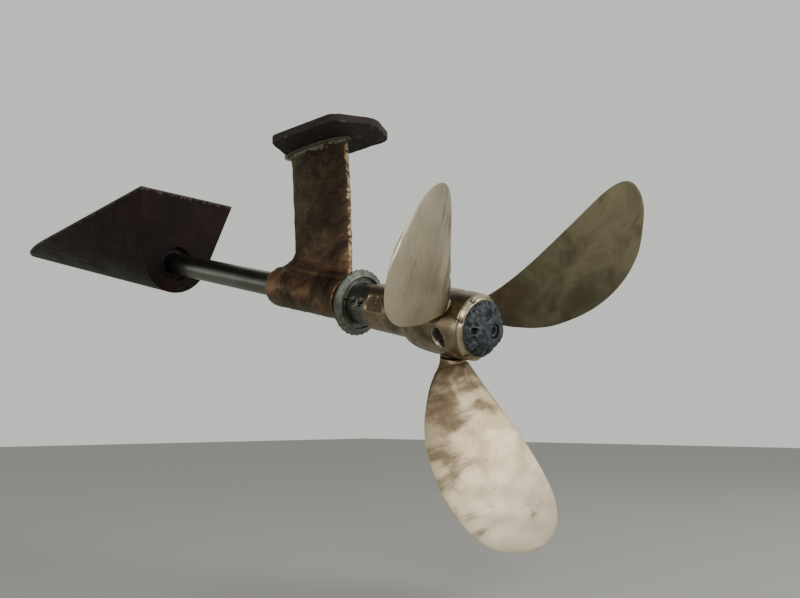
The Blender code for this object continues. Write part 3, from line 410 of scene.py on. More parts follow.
def makeHubBronze(look):
    material, add = newMaterial("manganese bronze, turned")
    own = add("Attribute", out="Vector", attribute_name="own")
    edge, rub, grime, polishAndHighlight = (add("Attribute", out="Fac", attribute_name=name)
                                for name in ("edge", "rub", "grime", "polishAndHighlight"))
    patch, smudge, copper, turning = (
        add("TexNoise", (add("Mapping", {0: own, 3: scale}), 1.0, *rest))
        for scale, *rest in look["noise"])
    copper = add("Math", (add("MapRange", (copper, 0.46, 0.62, 0.15, 1.0)), rub), operation="MULTIPLY")
    dirt = add("Math", (add("MapRange", (edge, -0.06, -0.35, 0.0, 0.85)), grime), operation="MAXIMUM")
    colour, masks = layered(add, add("ValToRGB", [patch], stops=look["tones"]), (
        (smudge, 0.52, 0.70, 0.5, "#53453a"), (copper, 0.0, 1.0, 1.0, "#a87f63"),
        (edge, 0.28, 0.65, 0.7, "#c6baa2"), (polishAndHighlight, 0.0, 1.0, 1.0, "#cdc2aa"),
        (dirt, 0.0, 1.0, 1.0, "#1e1812")))
    rough = shifted(add, add("MapRange", (masks[0], 0.0, 1.0, 0.30, 0.46)), dirt, 0.0, 1.0, 0.0, 0.3)
    return finishMaterial(material, add, ((patch, 0.45, 0.0022), (turning, 0.16, 0.00012)),
                          Base_Color=colour, Metallic=add("MapRange", (dirt, 0.0, 1.0, 0.92, 0.3)),
                          Roughness=rough)


# Blades: nickel bronze, cast, then ground and buffed by hand. It gives a pale satin sheen, a painted
# highlight brightest at the tips of some blades, darker brown toward the roots, an olive film with painted
# shade on some blades, fine sanding marks across the leaf, shallow hollows from the grinder, and brown
# smudges with brushed edges
bladeBronzeLook = {
    "noise": (([1 / 0.060] * 3, 5.0, 0.58, 0.5), ((1 / 0.045, 1 / 0.0010, 1 / 0.006), 4.0, 0.6, 0.0),
              ((1 / 0.060, 1 / 0.019, 1 / 0.03), 6.0, 0.56, 0.0), ([1 / 0.045] * 3, 3.0, 0.5, 0.0),
              ((1 / 0.042, 1 / 0.02625, 1 / 0.042), 2.0, 0.40, 0.0)),
    "tones": ((0.32, "#a49170"), (0.46, "#b9a787"), (0.58, "#cbb996"), (0.72, "#b19f7d"))}


def makeBladeBronze(look):
    material, add = newMaterial("nickel bronze, hand buffed")
    own = add("Attribute", out="Vector", attribute_name="own")
    edge, root, tipHighlight, film = (add("Attribute", out="Fac", attribute_name=name)
                              for name in ("edge", "root", "tipHighlight", "film"))
    cloud, fine, smudge, patch, hollow = (
        add("TexNoise", (add("Mapping", {0: own, 3: scale}), 1.0, *rest))
        for scale, *rest in look["noise"])
    # the film mark: an olive tone and painted shade, strongest on the blade turned from the light
    film = add("Math", (film, add("MapRange", (cloud, 0.36, 0.60, 1.0, 0.80))), operation="MULTIPLY")
    # smudges: long noise + wide patches - a level that falls toward the root, frayed by the sanding marks
    smudge = add("Math", (smudge, patch), operation="ADD")
    smudge = add("Math", (smudge, add("MapRange", (root, 0.0, 1.0, 1.13, 0.72))), operation="SUBTRACT")
    smudge = shifted(add, smudge, fine, 0.3, 0.7, -0.05, 0.05)
    smudge = add("MapRange", (smudge, -0.02, 0.30, 0.0, 0.75), interpolation_type="SMOOTHSTEP")
    colour = layered(add, add("ValToRGB", [cloud], stops=look["tones"]), (
        # the tip mark is a painted highlight, pale toward the tips, as strong as each blade's share in buffed
        (tipHighlight, 0.0, 1.0, 1.0, "#f2e6ca"), (root, 0.0, 1.0, 0.55, "#66563f"),
        (film, 0.0, 1.0, 1.0, "#424532"), (fine, 0.42, 0.70, 0.20, "#857a63"),
        (smudge, 0.0, 1.0, 1.0, "#5a4a36"), (edge, 0.25, 0.7, 0.6, "#c9bda2"),
        (edge, -0.08, -0.4, 0.8, "#2b231a")))[0]
    rough = add("Mix", {0: smudge, 2: add("MapRange", (cloud, 0.35, 0.65, 0.46, 0.38)), 3: 0.60})
    return finishMaterial(material, add, ((hollow, 0.2, 0.0020), (fine, 0.18, 0.00010)), Base_Color=colour,
                          Metallic=0.88, Roughness=rough, Anisotropic=0.3)


# Shaft: stainless steel, centreless ground. It gives sharp lengthwise highlights on a cool grey, dulled
# in patches by a thin greenish film
shaftSteelLook = {
    "noise": (((60, 60, 1 / 0.0008), 3.0), ((20, 20, 6), 6.0, 0.6)),
    "tones": ((0.35, "#6f7269"), (0.50, "#888b82"), (0.65, "#787a6e"))}


def makeShaftSteel(look):
    material, add = newMaterial("stainless steel, ground")
    own = add("Attribute", out="Vector", attribute_name="own")
    grind, film = (
        add("TexNoise", (add("Mapping", {0: own, 3: scale}), 1.0, *rest))
        for scale, *rest in look["noise"])
    return finishMaterial(material, add, ((grind, 0.10, 0.00006),), Metallic=1.0,
                          Base_Color=add("ValToRGB", [film], stops=look["tones"]),
                          Roughness=add("MapRange", (film, 0.35, 0.65, 0.22, 0.34)))


# Line cutter: stainless steel, turned and tumbled dull. It gives a soft grey with fine turning rings, and
# painted shade on its tooth tips and in the hollows of its dish. Its own coordinates are the distance from
# the shaft, 0, and along it
cutterSteelLook = {"turning": 0.0008, "grime": 0.011, "toothRoot": 0.0457,
                   "tones": ((0.33, "#565751"), (0.47, "#70726a"), (0.60, "#83857d"))}


def makeCutterSteel(look):
    material, add = newMaterial("stainless steel, turned")
    own = add("Attribute", out="Vector", attribute_name="own")
    edge = add("Attribute", out="Fac", attribute_name="edge")
    place = add("TexCoord", out="Object")
    grime = add("TexNoise", (place, 1 / look["grime"], 7.0, 0.62))
    radius = add("SeparateXYZ", [own], 0)
    # painted shade: the tooth tips and the hollows of the dish are darkened
    tip = add("MapRange", (radius, look["toothRoot"], look["toothRoot"] + 0.0012, 0.0, 0.5))
    hollow = add("MapRange", (edge, -0.06, -0.35, 0.0, 0.85))
    paintedShade = add("Math", (tip, hollow), operation="MAXIMUM")
    colour = layered(add, add("ValToRGB", [grime], stops=look["tones"]), (
        (edge, 0.2, 0.5, 0.7, "#abada3"), (paintedShade, 0.0, 1.0, 1.0, "#23241f")))[0]
    rings = add("Mapping", {0: own, 3: (1 / look["turning"], 0.0, 1 / look["turning"])})
    rings = add("TexNoise", (rings, 1.0, 2.0))
    return finishMaterial(material, add, ((rings, 0.25, 0.00012),), Base_Color=colour, Metallic=0.95,
                          Roughness=add("MapRange", (grime, 0.3, 0.7, 0.46, 0.32)))


# Anode: zinc, cast, half eaten away in sea water. It gives a dull slate crust, paler on its lumps and
# nearly black in its pits
zincLook = {"crust": 0.012, "pit": 0.0030,
            "tones": ((0.32, "#22272a"), (0.46, "#30363a"), (0.58, "#3e4549"), (0.72, "#51585b"))}


def makeZinc(look):
    material, add = newMaterial("zinc, cast and corroded")
    own = add("Attribute", out="Vector", attribute_name="own")
    edge = add("Attribute", out="Fac", attribute_name="edge")
    crust = add("TexNoise", (own, 1 / look["crust"], 8.0, 0.62, 0.8))
    pits = add("TexNoise", (own, 1 / look["pit"], 4.0))
    colour = layered(add, add("ValToRGB", [crust], stops=look["tones"]), (
        (edge, 0.10, 0.45, 0.6, "#737b7e"), (edge, -0.04, -0.35, 0.85, "#15181b")))[0]
    return finishMaterial(material, add, ((crust, 0.7, 0.0020), (pits, 0.4, 0.0005)), Base_Color=colour,
                          Metallic=0.35, Roughness=add("MapRange", (crust, 0.3, 0.7, 0.72, 0.52)))


# Shaft log: glass fibre under brushed antifouling paint. It gives a dark maroon, darkened as painted shade,
# with lengthwise brush marks, a painted grey green reflection along its round underside, and a pale ragged
# line round its flat top
antifoulingLook = {"brush": 0.005, "cloud": 0.060, "chip": 0.007,
                   "topFace": ((0, 0.6, -0.03285), (0, 0.04205, 0.999116)),
                   # the tones: a dark maroon paint, darkened to near black as painted shade
                   "tones": ((0.34, "#140c0b"), (0.50, "#1d100e"), (0.64, "#281614"))}


def makeAntifouling(look):
    material, add = newMaterial("antifouling paint, brushed")
    place = add("TexCoord", out="Object")
    own = add("Attribute", out="Vector", attribute_name="own")
    cloud = add("TexNoise", (place, 1 / look["cloud"], 7.0, 0.6))
    chips = add("TexNoise", (place, 1 / look["chip"], 7.0, 0.65))
    down = add("SeparateXYZ", [add("TexCoord", out="Normal")], 2)
    lift = add("VectorMath", (place, look["topFace"][0]), operation="SUBTRACT")
    lift = add("VectorMath", (lift, look["topFace"][1]), 1, operation="DOT_PRODUCT")
    # faces that look down get a painted grey green reflection of the ground, frayed by the cloud
    down = shifted(add, down, cloud, 0.38, 0.62, -0.22, 0.22)
    lift = shifted(add, lift, chips, 0.35, 0.65, -0.004, 0.004)
    colour = layered(add, add("ValToRGB", [cloud], stops=look["tones"]), (
        (down, -0.50, -0.95, 0.75, "#3c3f3a"), (lift, -0.0045, -0.0020, 0.55, "#625c52")))[0]
    strokes = add("Mapping", {0: own, 3: (1 / look["brush"], 1 / look["brush"], 7)})
    strokes = add("TexNoise", (strokes, 1.0, 4.0, 0.6))
    return finishMaterial(material, add, ((strokes, 0.25, 0.0004), (cloud, 0.35, 0.004)), Base_Color=colour,
                          Metallic=0.0, Roughness=add("MapRange", (strokes, 0.3, 0.7, 0.50, 0.70)),
                          Specular_IOR_Level=0.15)


def makeClouded(name, low, high, metallic, rough, size, distance, paint=()):
    # a clouded finish: noise between two tones, uneven gloss between two values, and a bump of the given
    # depth. Paint is a place along y where it ends, frayed by the noise, the place where it is whole, its
    # share and its tone
    material, add = newMaterial(name)
    place = add("TexCoord", out="Object")
    cloud = add("TexNoise", (place, 1 / size, 6.0, 0.6))
    colour = add("ValToRGB", [cloud], stops=((0.35, low), (0.65, high)))
    if paint:
        y = shifted(add, add("SeparateXYZ", [place], 1), cloud, 0.3, 0.7, -0.006, 0.006)
        colour = layered(add, colour, ((y, *paint),))[0]
    return finishMaterial(material, add, ((cloud, 0.4, distance),), Base_Color=colour, Metallic=metallic,
                          Roughness=add("MapRange", (cloud, 0.3, 0.7, *rough)))


castBronze = makeCastBronze(castBronzeLook)
hubBronze = makeHubBronze(hubBronzeLook)
bladeBronze = makeBladeBronze(bladeBronzeLook)
shaftSteel = makeShaftSteel(shaftSteelLook)
cutterSteel = makeCutterSteel(cutterSteelLook)
zinc = makeZinc(zincLook)
antifouling = makeAntifouling(antifoulingLook)
# Small pieces: turned brass, moulded rubber, screws and bolts. Sealant: polyurethane, tooled by finger and
# brushed over with the palm's paint, so that it is bare and chalky only where it bulges ahead of the arm
brass = makeClouded("brass, turned", "#57462f", "#856d49", 0.9, (0.40, 0.58), 0.004, 0.0002)
rubber = makeClouded("nitrile rubber, moulded", "#0f0f0e", "#1d1c1a", 0.0, (0.60, 0.78), 0.003, 0.0002)
sealant = makeClouded("polyurethane sealant, tooled", "#6f6c5d", "#b3af9d", 0.0, (0.55, 0.75), 0.008,
                      0.0008, (0.094, 0.086, 0.85, "#2e2621"))
screwSteel = makeClouded("stainless steel, cold headed", "#6d6d67", "#9a9a92", 1.0, (0.28, 0.46), 0.003,
                         0.0001)
boltSteel = makeClouded("stainless steel, stained", "#303235", "#54565a", 0.8, (0.42, 0.60), 0.003,
                        0.0002)
print("materials made")

# Strut casting and shaft log: the CAD's own shapes with cast, uneven skins
strutShape = {"voxel": 0.0016, "rounding": 6, "edgePasses": 12, "dents": 0.0004, "dentSize": 0.026,
              "palmFade": (-0.008, -0.003), "trailingFoot": (-0.0510, -0.24),
              "trailingHead": (-0.0376, -0.012), "strip": 0.0060, "stripShare": 0.58}


def makeStrut(shape):
    piece = castCopy("strut_skin", "strut_casting", shape["voxel"], shape["rounding"])
    markEdges(piece, shape["edgePasses"])

    def dents(points):
        # large dents and small ones, which fade out at the palm's flat top
        lumps = ripple(points, shape["dentSize"], 3) + 0.5 * ripple(points, shape["dentSize"] / 3, 4) - 0.6
        return shape["dents"] * lumps * (1 - smooth(points[:, 2], *shape["palmFade"])) - 0.00002

    pushOut(piece, dents)
    # mark "strip": 1 on the arm's trailing edge, falling to 0 over the strip's width ahead of it
    points = meshArrays(piece.data)[0]
    foot, head = shape["trailingFoot"], shape["trailingHead"]
    part = np.clip((points[:, 2] - foot[1]) / (head[1] - foot[1]), 0, 1)
    ahead = points[:, 1] - (foot[0] + (head[0] - foot[0]) * part ** 2)
    along = (points - shaftMiddle) @ shaftAxes[1]
    onArm = smooth(along, 0.031, 0.036) * (points[:, 2] < -0.0125)
    addMark(piece, "strip", shape["stripShare"] * (1 - smooth(ahead, 0.0, shape["strip"])) * onArm)
    finishPiece(piece, "strut_casting", castBronze, "strut", 70)


logShape = {"bevel": 0.0018, "bevelSteps": 3, "sharpDegrees": 25}


def makeLog(shape):
    piece = mergedCopy("log_skin", "shaft_log_fairing")
    finishPiece(piece, "shaft_log_fairing", antifouling, "strut", shape["sharpDegrees"])
    bevel = piece.modifiers.new("bevel", "BEVEL")
    bevel.width = shape["bevel"]
    bevel.segments = shape["bevelSteps"]
    bevel.limit_method = "ANGLE"
    bevel.angle_limit = math.radians(shape["sharpDegrees"])
    bevel.harden_normals = True


makeStrut(strutShape)
makeLog(logShape)
print("strut and shaft log made")

# Water bearings: a brass shell, then its rubber liner and the shaft log's bearing, both with water grooves
# along their bores. Each is its bore, outer radius, front, back and number of grooves
bearingShapes = {"shell_skin": ("bearing_shell", (0.0237, 0.0257, -0.347, -0.186, 0)),
                 "rubber_skin": ("bearing_rubber", (0.0194, 0.0234, -0.347, -0.186, 8)),
                 "log_bearing_skin": ("log_bearing", (0.0194, 0.0234, -0.812, -0.662, 8))}
grooveDepth = 0.0024


def groovedTube(inner, outer, front, back, grooves):
    # a closed section (radius, along) turned round, and its bore let out by
    # groove depth * max(0, cos(grooves * turn))^16
    profile = softProfile([(inner, front), (outer, front), (outer, back), (inner, back)],
                          0.0006, 0.004, closed=True)
    profile = thinned(profile, (profile[:, 1] > front + 0.004) & (profile[:, 1] < back - 0.004))
    grid = turnedGrid(profile, 192)
    radius, turns = polar(grid)
    let = grooveDepth * np.maximum(0, np.cos(grooves * turns)) ** 16 if grooves else 0
    grid[..., :2] *= (np.where(radius < (inner + outer) / 2, radius + let, radius) / radius)[..., None]
    return grid


for name, (node, sizes) in bearingShapes.items():
    finish = (rubber, "bearing_rubber") if sizes[-1] else (brass, "bearing_brass")
    makeShell(name, node, groovedTube(*sizes), "ring", *finish, "strut")

# Shaft: a turned bar with a small chamfer at each end
shaftShape = {"radius": 0.01905, "front": -0.880, "back": 0.0527, "chamfer": 0.001}


def makeShaft(shape):
    radius, front, back, cut = (shape[key] for key in ("radius", "front", "back", "chamfer"))
    profile = softProfile([(0.0005, front), (radius - cut, front), (radius, front + cut),
                           (radius, back - cut), (radius - cut, back), (0.0005, back)], 0.0003, 0.02)
    makeShell("shaft_skin", "propeller_shaft", turnedGrid(profile, 160), "point", shaftSteel,
              "stainless_steel")


makeShaft(shaftShape)


# Screws and bolts: shares of the head's radius or height, and the knurls round the head
screwShape = {"socket": 0.52, "mouth": 1.12, "edge": 0.12, "floor": 0.35, "drilled": 0.30, "flat": 0.93,
              "knurl": 0.018, "knurls": 24, "steps": 72}


def makeScrew(name, node, origin, axis, sizes, material=boltSteel, body="shaft_line", shape=screwShape):
    # turned outline of a screw, with its socket's radius grown to a hexagon: apothem / cos(turn to flat).
    # Sizes are its head's radius and height, its length under the head and its shank's radius
    radius, height, length, shank = sizes
    socket = radius * shape["socket"]
    edge = height * shape["edge"]
    profile = np.array(((0.0001, -length), (shank, -length), (shank, 0), (radius, 0),
                        (radius, height - edge), (radius - edge, height), (socket * shape["mouth"], height),
                        (socket, height - edge), (socket, height * shape["floor"]),
                        (0.0001, height * shape["drilled"])))
    grid = turnedGrid(profile, shape["steps"])
    turns = np.linspace(0, 2 * np.pi, shape["steps"], endpoint=False)
    flats = np.cos((turns + np.pi / 6) % (np.pi / 3) - np.pi / 6)
    grid[7:9, :, :2] *= shape["flat"] / flats[None, :, None]
    grid[3:5, :, :2] *= (1 + shape["knurl"] * np.cos(shape["knurls"] * turns))[None, :, None]
    axis = np.array(axis, float) / np.linalg.norm(axis)
    side = np.cross(axis, shaftAxes @ (0.3, 0.9, 0.31))
    side /= np.linalg.norm(side)
    grid = np.array(origin) + grid @ np.array((side, np.cross(axis, side), axis))
    makeShell(name, node, grid, "point", material, "stainless_steel", body)


# Line cutter: two half discs on the shaft. Each is a closed section carried half way round, with saw
# teeth let into its front rim and round seats sunk for its clamp screws
cutterShape = {"front": -0.1615, "thickness": 0.0082, "radius": 0.0475, "toothDepth": 0.0015,
               "toothLength": 0.0030, "teeth": 30, "toothSlopes": (0.35, 0.06), "backRadius": 0.0385,
               "dishRadius": 0.0365,
               "dishDepth": 0.0050, "collar": 0.0290, "collarBack": -0.1200, "bore": 0.0194,
               "splitDegrees": 35, "splitGap": 0.004, "screwOffset": 0.0235,
               "screwPlaces": (-0.1430, -0.1280), "screwSeat": 0.0075,
               "screw": (0.0048, 0.0066, 0.0175, 0.003), "hole": (0.0310, 177, 0.0019, 0.0030)}


def makeCutter(shape):
    front, bore, collar, gap = (shape[key] for key in ("front", "bore", "collar", "splitGap"))
    back, floor = front + shape["thickness"], front + shape["thickness"] - shape["dishDepth"]
    root, tooth = shape["radius"] - shape["toothDepth"], front + shape["toothLength"]
    corners = [(bore, front + 0.0003), (root - 0.003, front + 0.0003), (shape["radius"], front),
               (shape["radius"], tooth), (root - 0.0004, tooth + 0.0006), (shape["backRadius"], back),
               (shape["dishRadius"], back), (shape["dishRadius"] - 0.0006, floor), (collar, floor),
               (collar, shape["collarBack"]), (bore, shape["collarBack"])]
    cuts = [0.0003, 0.0003, 0.0003, 0.0003, 0.0006, 0.0010, 0.0006, 0.0006, 0.0012, 0.0010, 0.0003]
    profile = softProfile(corners, cuts, 0.0008, closed=True)
    profile = thinned(profile, profile[:, 0] < bore + 0.00001)
    split = math.radians(shape["splitDegrees"])
    for half, start, facing in (("upper", split, 1), ("lower", split + math.pi, -1)):
        grid = turnedGrid(profile, 300, start + gap, math.pi - 2 * gap)
        radius, turns = polar(grid)
        # teeth: a steep slope up and a long one down, each a share of the teeth's spacing
        saw = (turns / (2 * np.pi) * shape["teeth"]) % 1
        long, steep = shape["toothSlopes"]
        fall = shape["toothDepth"] * (1 - np.clip(1 - saw / long, 0, 1) * np.clip(saw / steep, 0, 1))
        share = np.clip((radius - root + 0.0005) / (shape["radius"] - root), 0, 1)
        grid[..., :2] *= ((radius - fall * share) / radius)[..., None]
        # a small blind hole in the dish's floor
        ring, turn, holeRadius, holeDepth = shape["hole"]
        turn = math.radians(turn)
        away = np.hypot(grid[..., 0] - ring * math.cos(turn), grid[..., 1] - ring * math.sin(turn))
        grid[..., 2] -= holeDepth * ((np.abs(grid[..., 2] - floor) < 0.0008) & (away < holeRadius))
        # screw seats: straight down into the collar, square to the split
        own = turnedAbout(grid, -split)
        seat = shape["screwSeat"] + 0.0002
        for place in shape["screwPlaces"]:
            away = np.hypot(own[..., 0] + facing * shape["screwOffset"], own[..., 2] - place)
            sunk = (away < shape["screw"][0] + 0.0004) & (facing * own[..., 1] > seat)
            own[..., 1] = np.where(sunk, facing * seat, own[..., 1])
        grid = turnedAbout(own, split).transpose(1, 0, 2)
        radius = polar(grid)[0]
        makeShell(f"cutter_{half}_skin", f"cutter_half_{half}", grid, "flat", cutterSteel, "cutter_steel",
                  marks={"own": np.stack((radius, 0 * radius, grid[..., 2]), -1)}, passes=8, sharp=35)
    number = 0
    for facing in (-1, 1):
        for place in shape["screwPlaces"]:
            number += 1
            axis = turnedAbout(np.array((0, facing, 0)), split)
            origin = turnedAbout(np.array((-facing * shape["screwOffset"], 0, place)), split)
            makeScrew(f"cutter_screw_skin_{number}", f"cutter_screw_{number}",
                      origin + axis * shape["screwSeat"], axis, shape["screw"], screwSteel)


makeCutter(cutterShape)
print("bearings, shaft and line cutter made")

# Hub: sleeve with two flats, three segments with ports, pockets and seams, and the nose ring
sleeveShape = {"front": -0.1197, "back": -0.0453, "radius": 0.0320, "bore": 0.0194, "hidden": 0.0280,
               "flat": 0.0295, "flatStart": 0.006, "flatLength": 0.030, "flatDegrees": -10,
               "slots": (-0.1089, -0.0975), "slotWidth": 0.0026, "slotDepth": 0.0013,
               "slotSpan": (-0.0015, 0.0085)}


def makeSleeve(shape):
    front, back, radius, bore = (shape[key] for key in ("front", "back", "radius", "bore"))
    profile = softProfile([(bore, front), (radius, front), (radius, back), (bore, back)],
                          [0.0004, 0.0012, 0.0006, 0.0004], 0.0008, closed=True)
    profile = thinned(profile, profile[:, 0] < shape["hidden"])
    turn = math.radians(shape["flatDegrees"])
    own = turnedAbout(turnedGrid(profile, 260), -turn)
    start = front + shape["flatStart"]
    end = start + shape["flatLength"]
    inside = smooth(own[..., 2], start - 0.0004, start + 0.0004)
    inside *= 1 - smooth(own[..., 2], end - 0.0004, end + 0.0004)
    own[..., 0] += (np.clip(own[..., 0], -shape["flat"], shape["flat"]) - own[..., 0]) * inside
    # two short slots across the port flat
    low, high = shape["slotSpan"]
    across = smooth(own[..., 1], low, low + 0.001) * (1 - smooth(own[..., 1], high - 0.001, high))
    half = shape["slotWidth"] / 2
    slot = sum(1 - smooth(np.abs(own[..., 2] - place), half - 0.0004, half) for place in shape["slots"])
    own[..., 0] += shape["slotDepth"] * slot * across * (own[..., 0] < -0.028)
    makeShell("sleeve_skin", "hub_sleeve", turnedAbout(own, turn), "ring", hubBronze, "hub_bronze",
              marks={"rub": 0.8 * inside, "grime": 0.8 * slot * across * (own[..., 0] < -0.027)},
              passes=8, sharp=50)


hubShape = {"outline": ((0.0330, -0.0450), (0.0385, -0.0400), (0.0415, -0.0290), (0.0430, -0.0110),
                        (0.0430, 0.0300), (0.0424, 0.0430), (0.0412, 0.0520), (0.0402, 0.0530)),
            "radius": 0.043, "skinFrom": 0.0325, "bore": 0.0194, "hidden": 0.0310, "firstBlade": -79,
            "spindle": 0.0140,
            "port": 0.0155, "portFloor": 0.0340, "pocketTurn": -12, "pocketPlace": 0.0255, "pocketLean": 18,
            "pocket": (0.0088, 0.01425, 0.00825), "seam": 0.0007, "seamWidth": 0.0010,
            "seamSlant": 13, "seamBend": (0.028, 0.060), "lip": 0.0010, "lipWidth": 0.0032,
            "rub": (11, 0.037, 0.013), "boltSunk": 0.0040, "boltAside": 0.0050, "boltTilt": 40,
            "bolt": (0.0042, 0.0042, 0.0058, 0.0038)}


def makeHub(shape):
    outline, bore, full = list(shape["outline"]), shape["bore"], shape["radius"]
    corners = outline + [(bore, outline[-1][1]), (bore, outline[0][1])]
    cuts = [0.0006, 0.0025, 0.0060, 0.0090, 0.0060, 0.0040, 0.0004, 0.0003, 0.0003, 0.0003]
    profile = softProfile(corners, cuts, 0.0007, closed=True)
    profile = thinned(profile, profile[:, 0] < shape["hidden"])
    third = 2 * np.pi / 3
    first = math.radians(shape["firstBlade"])
    for number in range(3):
        mid = first + third * (number + 0.5)
        grid = turnedGrid(profile, 190, mid - third / 2, third)
        straight = np.broadcast_to(np.linspace(mid - third / 2, mid + third / 2, 190), grid.shape[:2])
        radius, along = polar(grid)[0], grid[..., 2]
        skin, outer = radius, radius > shape["skinFrom"]
        turns = straight + math.radians(shape["seamSlant"]) * smooth(along, *shape["seamBend"])
        # ports: everything within the port's radius of a spindle drops to the port's floor
        for blade in (number, number + 1):
            off = turns - (first + third * blade)
            away = np.hypot(radius * np.sin(off), along - shape["spindle"])
            lip = shape["lip"] * (1 - smooth(away, shape["port"], shape["port"] + shape["lipWidth"]))
            radius = np.where(outer, radius - lip, radius)
            radius = np.where(outer & (away < shape["port"]), shape["portFloor"], radius)
        # pocket: depth * sqrt(1 - (across / half length)^2 - (along / half width)^2) below the skin
        spot = mid + math.radians(shape["pocketTurn"])
        lean = math.radians(shape["pocketLean"])
        depth, halfLength, halfWidth = shape["pocket"]
        across, aft = full * np.sin(turns - spot), along - shape["pocketPlace"]
        p = (across * math.cos(lean) + aft * math.sin(lean)) / halfLength
        q = (aft * math.cos(lean) - across * math.sin(lean)) / halfWidth
        scoop = (full - depth * np.sqrt(np.clip(1 - p * p - q * q, 0, 1))) / np.cos(turns - spot)
        inside = outer & (p * p + q * q < 1) & (np.cos(turns - spot) > 0.5)
        radius = np.where(inside, np.minimum(radius, scoop), radius)
        # seams: the skin turns down beside each joint between segments
        beside = full * (third / 2 - np.abs(straight - mid))
        radius = radius - shape["seam"] * (1 - smooth(beside, 0, shape["seamWidth"])) * outer
        inset = np.sign(mid - straight) * (1 - smooth(beside, 0, 0.0001)) * 0.00015 / 0.03
        grid = np.stack((radius * np.cos(turns + inset), radius * np.sin(turns + inset), along), -1)
        # mark for the copper tint beside the blade root's trailing side; mark "grime": deep places and seams
        tintTurn, tintPlace, tintReach = shape["rub"]
        rub = sum(np.exp(-((full * (turns - first - third * blade - math.radians(tintTurn))) ** 2
                           + (along - tintPlace) ** 2) / tintReach ** 2) for blade in (number, number + 1))
        grime = np.maximum(smooth(skin - radius, 0.0010, 0.0050), 0.7 * (1 - smooth(beside, 0, 0.0009)))
        makeShell(f"segment_skin_{number + 1}", f"hub_segment_{number + 1}", grid.transpose(1, 0, 2), "flat",
                  hubBronze, "hub_bronze", marks={"rub": rub.T, "grime": (grime * outer).T}, passes=8)
        tilt = math.radians(shape["boltTilt"]) - math.pi / 2
        out, sideways, tip = turnedAbout(np.eye(3), spot)
        aside = sideways * math.cos(lean) + tip * math.sin(lean)
        axis = out * math.cos(tilt) + aside * math.sin(tilt)
        origin = (out * (full - shape["boltSunk"]) + aside * shape["boltAside"] + tip * shape["pocketPlace"]
                  - axis * shape["bolt"][1])
        makeScrew(f"hub_bolt_skin_{number + 1}", f"hub_bolt_{number + 1}", origin, axis, shape["bolt"])


noseShape = {"front": 0.0533, "back": 0.0593, "radius": 0.0412, "bore": 0.0053, "hidden": 0.0340,
             "rounding": 0.0046, "notches": (128, 174), "notchDepth": 0.0014, "notchWidth": 0.0045}


def makeNose(shape):
    front, back, radius, bore = (shape[key] for key in ("front", "back", "radius", "bore"))
    corners = [(bore, front), (radius - 0.0010, front), (radius, front + 0.0010),
               (radius, back - shape["rounding"]), (radius - shape["rounding"], back), (bore, back)]
    cuts = [0.0003, 0.0006, 0.0006, 0.0024, 0.0024, 0.0003]
    profile = softProfile(corners, cuts, 0.0007, closed=True)
    profile = thinned(profile, profile[:, 0] < shape["hidden"])
    grid = turnedGrid(profile, 400)
    rim, turns = polar(grid)
    # notches part the rim into lobes: depth * exp(-(distance / width)^2), with a narrower one in each
    notch = 0
    for place in [place + 120 * k for k in range(3) for place in shape["notches"]]:
        away = radius * np.radians((np.degrees(turns) - place + 180) % 360 - 180)
        notch = notch + np.exp(-(away / shape["notchWidth"]) ** 2) + 0.5 * np.exp(-(away / 0.0011) ** 2)
    cut = shape["notchDepth"] * notch * smooth(rim, radius - 0.006, radius - 0.002)
    grid[..., :2] *= (1 - cut / rim)[..., None]
    grid[..., 2] -= 0.5 * cut * (grid[..., 2] > front + 0.002)
    # the rim between the notches is made paler: polish with a painted highlight
    polishAndHighlight = 0.6 * smooth(rim, radius - 0.005, radius - 0.002) * (1 - smooth(notch, 0.1, 0.8))
    makeShell("nose_skin", "nose_ring", grid, "ring", hubBronze, "hub_bronze",
              marks={"grime": 0.75 * smooth(cut, 0.0012, 0.0020), "polishAndHighlight": polishAndHighlight}, passes=8, sharp=50)


makeSleeve(sleeveShape)
makeHub(hubShape)
makeNose(noseShape)

# Anode: a turned cone with a recess in its nose, eaten into lumps, and its screws
anodeShape = {"base": 0.0596, "length": 0.0208, "outline": ((0.0350, 0.0), (0.0350, 0.12), (0.0335, 0.25),
              (0.0300, 0.42), (0.0225, 0.80), (0.0195, 0.93), (0.0150, 1.0)), "recess": 0.0098,
              "recessDepth": 0.0080, "bore": 0.0053, "lump": 0.0015, "lumpSize": 0.018,
              "scour": (60, 0.0018), "screwCircle": 0.0262, "screwTurn": 188, "screwPocket": 0.0041,
              "screwSeat": 0.0040,
              "screw": (0.0037, 0.0029, 0.0002, 0.003), "bolt": (0.0079, 0.0045, 0.0190, 0.005)}


